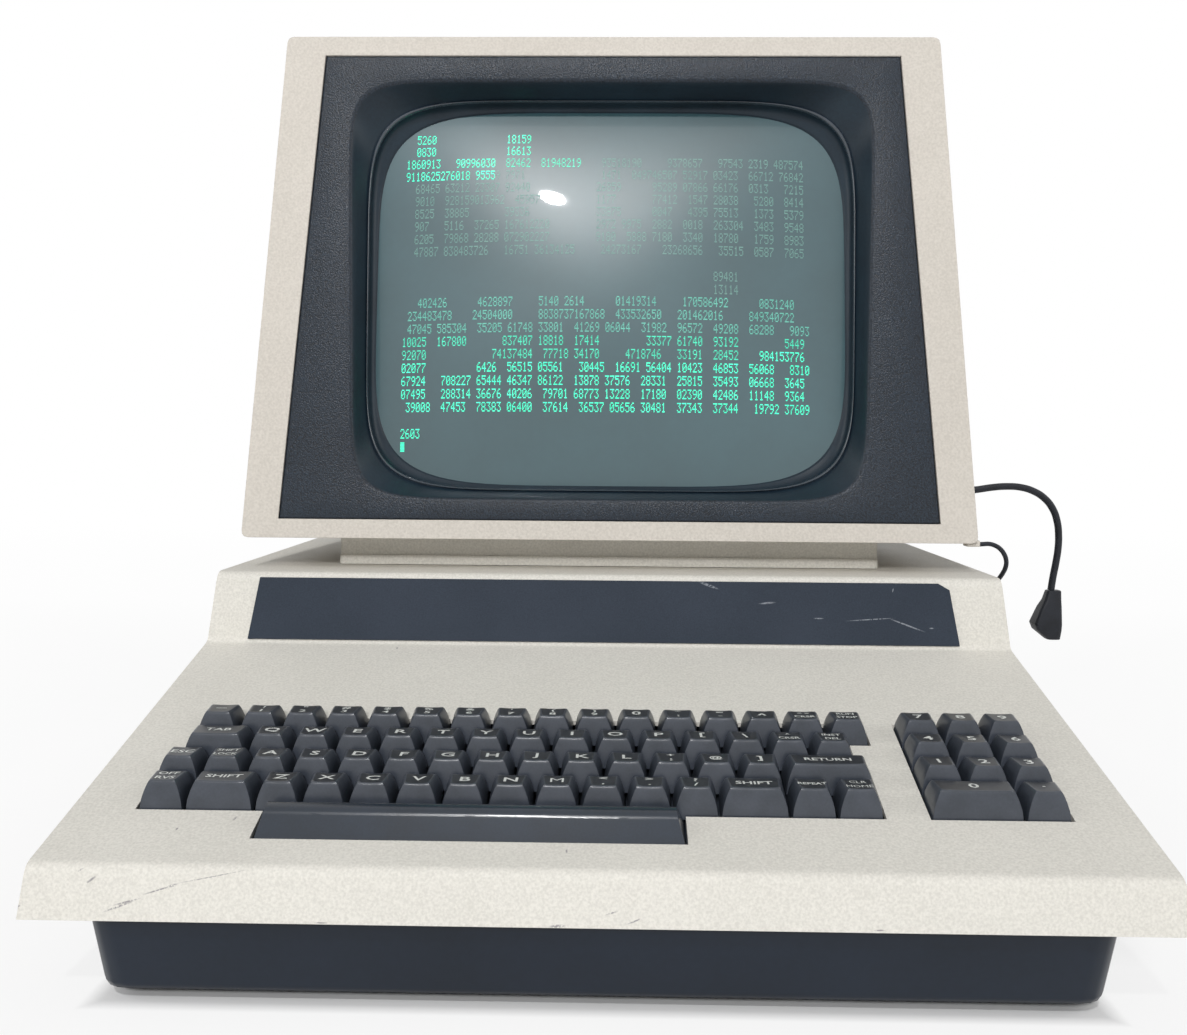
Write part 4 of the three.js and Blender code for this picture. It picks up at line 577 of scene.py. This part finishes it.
# the rows from the front: centre and width of each cap in pitches, its words, and its own body
key_left = -0.17587
first_row = 0.0477
rows = {
    0: [(-0.25, 1, "OFF\nRVS"), (1, 1.5, "SHIFT", "key_shift_left")]
       + [(2.25 + i, 1, letter.upper(), "key_" + letter) for i, letter in enumerate("zxcvbnm")]
       + [(9.25, 1, "<\n,"), (10.25, 1, ">\n."), (11.25, 1, "?\n/"),
          (12.5, 1.5, "SHIFT", "key_shift_right"), (13.75, 1, "REPEAT"), (14.75, 1, "CLR\nHOME")],
    1: [(-0.25, 1, "ESC"), (0.75, 1, "SHIFT\nLOCK", "key_shift_lock")]
       + [(1.75 + i, 1, letter.upper(), "key_" + letter) for i, letter in enumerate("asdfghjkl")]
       + [(10.75, 1, "+\n;"), (11.75, 1, "@"), (12.75, 1, "]"), (14.25, 2, "RETURN", "key_return")],
    2: [(0.25, 1.5, "TAB")]
       + [(1.5 + i, 1, letter.upper(), "key_" + letter) for i, letter in enumerate("qwertyuiop")]
       + [(11.5, 1, "["), (12.5, 1, "\\"), (13.5, 1, "^\nCRSR"), (14.5, 1, "INST\nDEL")],
    3: [(i, 1, mark) for i, mark in enumerate(
        ["_", "!\n1", "\"\n2", "#\n3", "$\n4", "%\n5", "&\n6", "'\n7", "(\n8", ")\n9", "0",
         "*\n:", "=\n-", "^", "< >\nCRSR", "RUN\nSTOP"])],
}
pad = 16.714
rows[0] += [(pad + 0.5, 2, "0"), (pad + 2, 1, ".")]
for row, digits in ((1, "123"), (2, "456"), (3, "789")):
    rows[row] += [(pad + i, 1, digit) for i, digit in enumerate(digits)]
stem_size, stem_middle = (0.004, 0.004, 0.0245), (0, 0, -0.00515)
fixed = bmesh.new()
for row, entries in rows.items():
    for column, units, words, *own_body in entries:
        width = units * key_pitch - key_gap
        form = cap_form(width)
        lines = words.split("\n")
        size, stretch, spacing = own_setting.get(words) or setting[
            len(lines), max(len(line) for line in lines)]
        legend(form, words, size, stretch, spacing, width)
        spot = deck @ Matrix.Translation((key_left + column * key_pitch,
                                          first_row + row * key_pitch, 0))
        if own_body:
            node = own_body[0]
            stem = bmesh.ops.create_cube(form, size=1)["verts"]
            bmesh.ops.scale(form, verts=stem, vec=stem_size)
            bmesh.ops.translate(form, verts=stem, vec=stem_middle)
            form.transform(spot)
            cap = made(node + "_cap", form, node, [key_plastic, key_crown, legend_paint],
                       crease=36)
            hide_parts(node)
        else:
            form.transform(spot)
            part = bpy.data.meshes.new("part")
            form.to_mesh(part)
            form.free()
            fixed.from_mesh(part)
            bpy.data.meshes.remove(part)
plate_size, plate_middle = (0.3985, 0.1242, 0.0016), (0.0, 0.06628, -0.0083)
plate = bmesh.ops.create_cube(fixed, size=1)["verts"]
bmesh.ops.scale(fixed, verts=plate, vec=plate_size)
bmesh.ops.translate(fixed, verts=plate, vec=plate_middle)
bmesh.ops.transform(fixed, verts=plate, matrix=deck)
keyboard = made("keyboard_form", fixed, "case", [key_plastic, key_crown, legend_paint], crease=36)
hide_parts("keyboard_plate")

# The space bar: one long moulding of dark glossy plastic with a rolled top edge and a tall front.
# It rides on three stems through the plate.
bar_plastic = surface("bar_plastic", "1a222c", "222b37", rough=0.24, patch=0.02, grain=0.0009,
                      depth=0.00001, fine=0.3, Specular_IOR_Level=0.45, Coat_Weight=0.2,
                      Coat_Roughness=0.1)
dressed("key_space", "key_space", bar_plastic, edge=0.0006)

# The pedestal: a pale moulding with a plinth, screwed to the case's flat top from below and
# finished in the case's texture paint.
dressed("monitor_pedestal", "case", cream, edge=0.0013)

# The cabinet: a pale moulded plastic housing with a fine grain and a face that leans back. It
# stands on the pedestal and carries the clamp of the thin cable.
cabinet_cream = surface("cabinet_plastic", "c4beb5", "d1cbc2", rough=0.6, patch=0.05,
                        grain=0.0013, depth=0.00012, fine=0.8, Specular_IOR_Level=0.3)
dressed("monitor_cabinet", "case", cabinet_cream, edge=0.0005)

# The rear cover: a dark grained plastic shell that closes the cabinet and narrows round the neck
# of the tube, with slots for the warm air. The small knob in its wall sets the brightness.
cover_dark = surface("cover_plastic", "222831", "2b313c", rough=0.5, grain=0.0011, depth=0.00008,
                     fine=0.4)
dressed("monitor_rear_cover", "case", cover_dark, edge=0.0005)
dressed("brightness_knob", "knob", black_plastic, edge=0.0003)

# Inside the monitor: the deflection yoke, a flared collar of copper wire clamped on the tube's
# neck, and the video board with its cans and coils, on posts on the cabinet's floor.
winding = surface("copper_winding", "7d4622", "a7673a", rough=0.35, patch=0.004, grain=0.0006,
                  Metallic=0.7)
dressed("deflection_yoke", "case", winding, edge=0.0004)
board("video_board", "case", steel)

# The bezel: a grained dark plastic moulding set into the cabinet's face. Its smooth mouth funnels
# down to a glossy bead, behind which a narrow dark recess runs round the glass.
face_lean = math.radians(81)
face_at = Matrix.Translation((0, -0.03575, 0.16549)) @ Matrix.Rotation(face_lean, 4, "X")
face_width, face_taper, face_height = 0.398, 0.0324, 0.283
rim_foot, rim_growth = 0.0197, 0.003
panel_foot, panel_height = 0.0107, 0.2613
mouth_middle = 0.14
mouth_x, mouth_w, mouth_flare = 0.142, 0.1168, 0.026
throat_x, throat_w = 0.1334, 0.1087
mouth_squareness, throat_squareness = 10, 5
ring_count = 96
grained = surface("grained_plastic", "060c14", "222d39", rough=0.34, patch=0.04, depth=0.00028,
                  fine=0.85, Specular_IOR_Level=0.4)
smooth_dark = surface("smooth_plastic", "101c26", "182833", rough=0.36, grain=0.0015,
                      depth=0.00001, fine=0.3, Specular_IOR_Level=0.35)
bead_gloss = surface("bead_gloss", "202a33", "2c3742", rough=0.14, grain=0.002, depth=0.0,
                     Specular_IOR_Level=0.9)


def squircle(u, half_x, half_w, squareness, flare=0.0):
    """A place on a circle pressed toward a rectangle, which may flare toward its top."""
    x = math.copysign(abs(u.x) ** (2 / squareness), u.x) * half_x
    w = math.copysign(abs(u.y) ** (2 / squareness), u.y) * half_w
    return x * (1 + flare * w / half_w), w


def panel_ring(inset, out):
    """An outline of the bezel's flat panel, drawn in by inset and out along the face's normal."""
    def lay(u):
        a, b = squircle(u, 1, 1, 10)
        top = max(abs(a), abs(b))
        a, b = a / top, b / top
        w = panel_foot + inset + (panel_height - 2 * inset) * (b + 1) / 2
        half_face = 0.5 * (face_width - face_taper * w / face_height)
        rim = rim_foot + rim_growth * (w - panel_foot) / panel_height
        return Vector((a * (half_face - rim - inset), w, out))
    return lay


def mouth_ring(blend, out, swell=0.0):
    """An outline between the wide mouth and the tight throat, made larger all round by swell."""
    def lay(u):
        wide = squircle(u, mouth_x + swell, mouth_w + swell, mouth_squareness, mouth_flare)
        tight = squircle(u, throat_x + swell, throat_w + swell, throat_squareness)
        x, w = (a + (b - a) * blend for a, b in zip(wide, tight))
        return Vector((x, mouth_middle + w, out))
    return lay


bezel = bmesh.new()
unit = bezel.verts.layers.float_vector.new("unit")
bmesh.ops.create_circle(bezel, segments=ring_count, radius=1)
for v in bezel.verts:
    v[unit] = v.co.copy()
    v.co = panel_ring(0.0, -0.004)(v[unit])
loop = list(bezel.edges)
# the panel's edge, its flat and the turned edge of the mouth
for inset, out in ((0.0, -0.0016), (0.0003, -0.0011), (0.0009, -0.001)):
    loop = grown(bezel, loop, panel_ring(inset, out))
for out, swell in ((-0.001, 0.0026), (-0.0013, 0.0014), (-0.0021, 0.0006)):
    loop = grown(bezel, loop, mouth_ring(0.0, out, swell))
grain_faces = set(bezel.faces)
# the funnel
for blend, out in ((0.02, -0.0033), (0.2, -0.0062), (0.45, -0.0113), (0.585, -0.0139)):
    loop = grown(bezel, loop, mouth_ring(blend, out))
funnel_faces = set(bezel.faces)
# the bead
for blend, out in ((0.6, -0.0137), (0.615, -0.0132), (0.64, -0.0129), (0.67, -0.0131),
                   (0.69, -0.0137), (0.7, -0.0147)):
    loop = grown(bezel, loop, mouth_ring(blend, out))
bead_faces = set(bezel.faces) - funnel_faces
# the recess, down to the glass
for blend, out, swell in ((0.72, -0.017, 0.0), (0.78, -0.0187, 0.0), (0.9, -0.0202, 0.0),
                          (0.985, -0.0206, 0.0), (1.0, -0.021, -0.0003), (1.0, -0.0216, -0.0006),
                          (1.0, -0.0221, -0.0014)):
    loop = grown(bezel, loop, mouth_ring(blend, out, swell))
for face in bezel.faces:
    face.material_index = 0 if face in grain_faces else 2 if face in bead_faces else 1
bmesh.ops.recalc_face_normals(bezel, faces=bezel.faces)
bezel.transform(face_at)
shown = made("bezel_form", bezel, "case", [grained, smooth_dark, bead_gloss], crease=50)
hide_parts("monitor_bezel")

# The picture tube: a crowned grey-green faceplate over a dark bell and neck, held by its rim
# behind the bezel. Its glass is smooth and mirrors the room; the phosphor gives the pale tone.
glass = surface("tube_glass", "2b484e", "325259", rough=0.36, patch=0.09, grain=0.004, depth=0.0,
                fine=0.15, even=True, Coat_Weight=0.5, Coat_Roughness=0.03, Specular_IOR_Level=1.0)
bell_grey = surface("bell_coating", "1c1d20", "2a2b2f", rough=0.6, patch=0.02)
tube = solid_of("picture_tube")
shown = made("tube_form", tube, "case", [bell_grey], crease=50)
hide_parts("picture_tube")
glass_x, glass_w = 0.1352, 0.1105
glass_edge, glass_rise = -0.0222, 0.012
dome_steps = 20
dome = bmesh.new()
unit = dome.verts.layers.float_vector.new("unit")
bmesh.ops.create_circle(dome, segments=ring_count, radius=1, cap_ends=True, cap_tris=True)


def dome_ring(share):
    """An outline of the crowned glass, at a share of the way from its middle to its edge."""
    def lay(u):
        x, w = squircle(u, glass_x * share, glass_w * share, 2 + 3 * share)
        return Vector((x, mouth_middle + w, glass_edge + glass_rise * (1 - share * share)))
    return lay


for v in dome.verts:
    v[unit] = v.co.copy()
    middle = Vector((0, mouth_middle, glass_edge + glass_rise))
    v.co = dome_ring(1 / dome_steps)(v[unit]) if v[unit].length > 0.5 else middle
loop = [e for e in dome.edges if e.is_boundary]
for step in range(2, dome_steps + 1):
    loop = grown(dome, loop, dome_ring(step / dome_steps))
bmesh.ops.recalc_face_normals(dome, faces=dome.faces)
dome.transform(face_at)
glass_tree = BVHTree.FromBMesh(dome)
shown = made("tube_face", dome, "case", [glass], crease=60)

# What the tube shows: rows of plain green digits, dim in the middle and bright below, and a
# block at the prompt. Every digit is five dots wide and seven high, laid on the glass.
dot_width = 0.00046
dash_height, line_step = 0.00062, 0.00078
first_column, column_step = -0.1172, 0.00287
first_line, row_step = 0.2312, 0.00742
cast_from, digit_proud = 0.05, 0.00012
# each line of a digit's dots is a number whose five bits are the dots, from the left
dots = {"0": (14, 17, 19, 21, 25, 17, 14), "1": (4, 12, 4, 4, 4, 4, 14),
        "2": (14, 17, 1, 2, 4, 8, 31), "3": (31, 2, 4, 2, 1, 17, 14),
        "4": (2, 6, 10, 18, 31, 2, 2), "5": (31, 16, 30, 1, 1, 17, 14),
        "6": (6, 8, 16, 30, 17, 17, 14), "7": (31, 1, 2, 4, 8, 8, 8),
        "8": (14, 17, 17, 14, 17, 17, 14), "9": (14, 17, 17, 15, 1, 2, 12),
        "#": (31, 31, 31, 31, 31, 31, 31)}
# every group of digits in a row: its first column, a point, and the number of its digits
rows_of_text = [
    (0, "2.4 20.5"), (1, "2.4 20.5"), (2, "0.7 10.8 20.5 27.8 39.8 52.7 62.5 68.4 73.6"),
    (3, "0.8 8.5 14.5 20.4 39.4 45.4 49.5 55.5 61.5 68.5 74.5"),
    (4, "2.5 8.5 14.5 20.5 38.5 49.5 55.5 61.5 68.4 75.4"),
    (5, "2.4 8.7 15.5 22.5 38.4 49.5 56.4 61.5 69.4 75.4"),
    (6, "2.4 8.5 20.5 38.5 49.4 56.4 61.5 69.4 75.4"),
    (7, "2.3 8.4 14.5 20.9 38.4 43.4 49.4 55.4 61.6 69.4 75.4"),
    (8, "2.4 8.5 14.5 20.9 38.4 44.4 49.4 55.4 61.5 69.4 75.4"),
    (9, "2.5 8.9 20.5 26.8 39.8 51.8 62.5 69.4 75.4"),
    (11, "61.5"), (12, "61.5"), (13, "3.6 15.7 27.4 32.4 42.8 55.9 70.7"),
    (14, "1.9 14.8 27.9 36.4 42.9 54.9 68.9"),
    (15, "1.5 7.6 15.5 21.5 27.5 34.5 40.5 47.5 54.5 61.5 68.5 76.4"),
    (16, "0.5 7.6 20.6 27.5 34.5 48.5 54.5 61.5 75.4"),
    (17, "0.5 18.8 28.5 34.5 44.7 54.5 61.5 70.9"),
    (18, "0.5 15.4 21.5 27.5 35.5 42.5 48.5 54.5 61.5 68.5 76.4"),
    (19, "0.5 8.6 15.5 21.5 27.5 34.5 40.5 47.5 54.5 61.5 68.5 75.4"),
    (20, "0.5 8.6 15.5 21.5 28.5 34.5 40.5 47.5 54.5 61.5 68.5 75.4"),
    (21, "1.5 8.5 15.5 21.5 28.5 35.5 41.5 47.5 54.5 61.5 69.5 75.5"), (23, "0.4"),
]
glyphs = {}
for mark, lines in dots.items():
    glyph = bmesh.new()
    for line, bits in enumerate(lines):
        run = 0
        for bit in range(6):
            if bit < 5 and bits >> (4 - bit) & 1:
                run += 1
            elif run:
                dash = bmesh.ops.create_grid(glyph, x_segments=1, y_segments=1, size=0.5)["verts"]
                bmesh.ops.scale(glyph, verts=dash, vec=(run * dot_width, dash_height, 1))
                bmesh.ops.translate(glyph, verts=dash, vec=((bit - run / 2) * dot_width,
                                                            (3 - line) * line_step, 0))
                run = 0
    glyphs[mark] = bpy.data.meshes.new("glyph")
    glyph.to_mesh(glyphs[mark])
    glyph.free()
random.seed(7)
cells = []
for row, groups in rows_of_text:
    for group in groups.split():
        start, count = (int(n) for n in group.split("."))
        cells += [(start + i, row, random.choice("0123456789")) for i in range(count)]
cells.append((0, 24, "#"))


def level_of(column, row):
    """Which of four brightnesses a place on the screen has: 0 is the brightest."""
    if row >= 18 or row < 2 or row in (2, 3) and column < 18 or row == 17 and column > 65:
        return 0
    if row in (16, 17) or row == 2 and column < 35:
        return 1
    return 2 if row >= 13 else 3


writing = bmesh.new()
for column, row, mark in cells:
    stamp = glyphs[mark].copy()
    stamp.transform(Matrix.Translation((first_column + column * column_step,
                                        first_line - row * row_step, 0)))
    level = level_of(column, row)
    stamp.polygons.foreach_set("material_index", [level] * len(stamp.polygons))
    writing.from_mesh(stamp)
    bpy.data.meshes.remove(stamp)
for glyph in glyphs.values():
    bpy.data.meshes.remove(glyph)
writing.transform(face_at)
outward = face_at.to_3x3() @ Vector((0, 0, 1))
for v in writing.verts:
    hit = glass_tree.ray_cast(v.co + outward * cast_from, -outward)[0]
    v.co = hit + outward * digit_proud
glows = []
for name, dark, light, strength in (
        ("digits_bright", "35d9ab", "52f0c6", 0.85), ("digits_middle", "3cc4a0", "52dcb8", 0.5),
        ("digits_low", "5fae9e", "6fc0ae", 0.25), ("digits_dim", "6c938c", "7aa39a", 0.08)):
    lit = surface(name, dark, light, rough=0.4, patch=0.01, grain=0.0006, depth=0.0)
    tree = lit.node_tree
    shader = tree.nodes["Principled BSDF"]
    tree.links.new(tree.nodes["tones"].outputs["Color"], shader.inputs["Emission Color"])
    shader.inputs["Emission Strength"].default_value = strength
    glows.append(lit)
shown = made("screen_digits", writing, "case", glows)
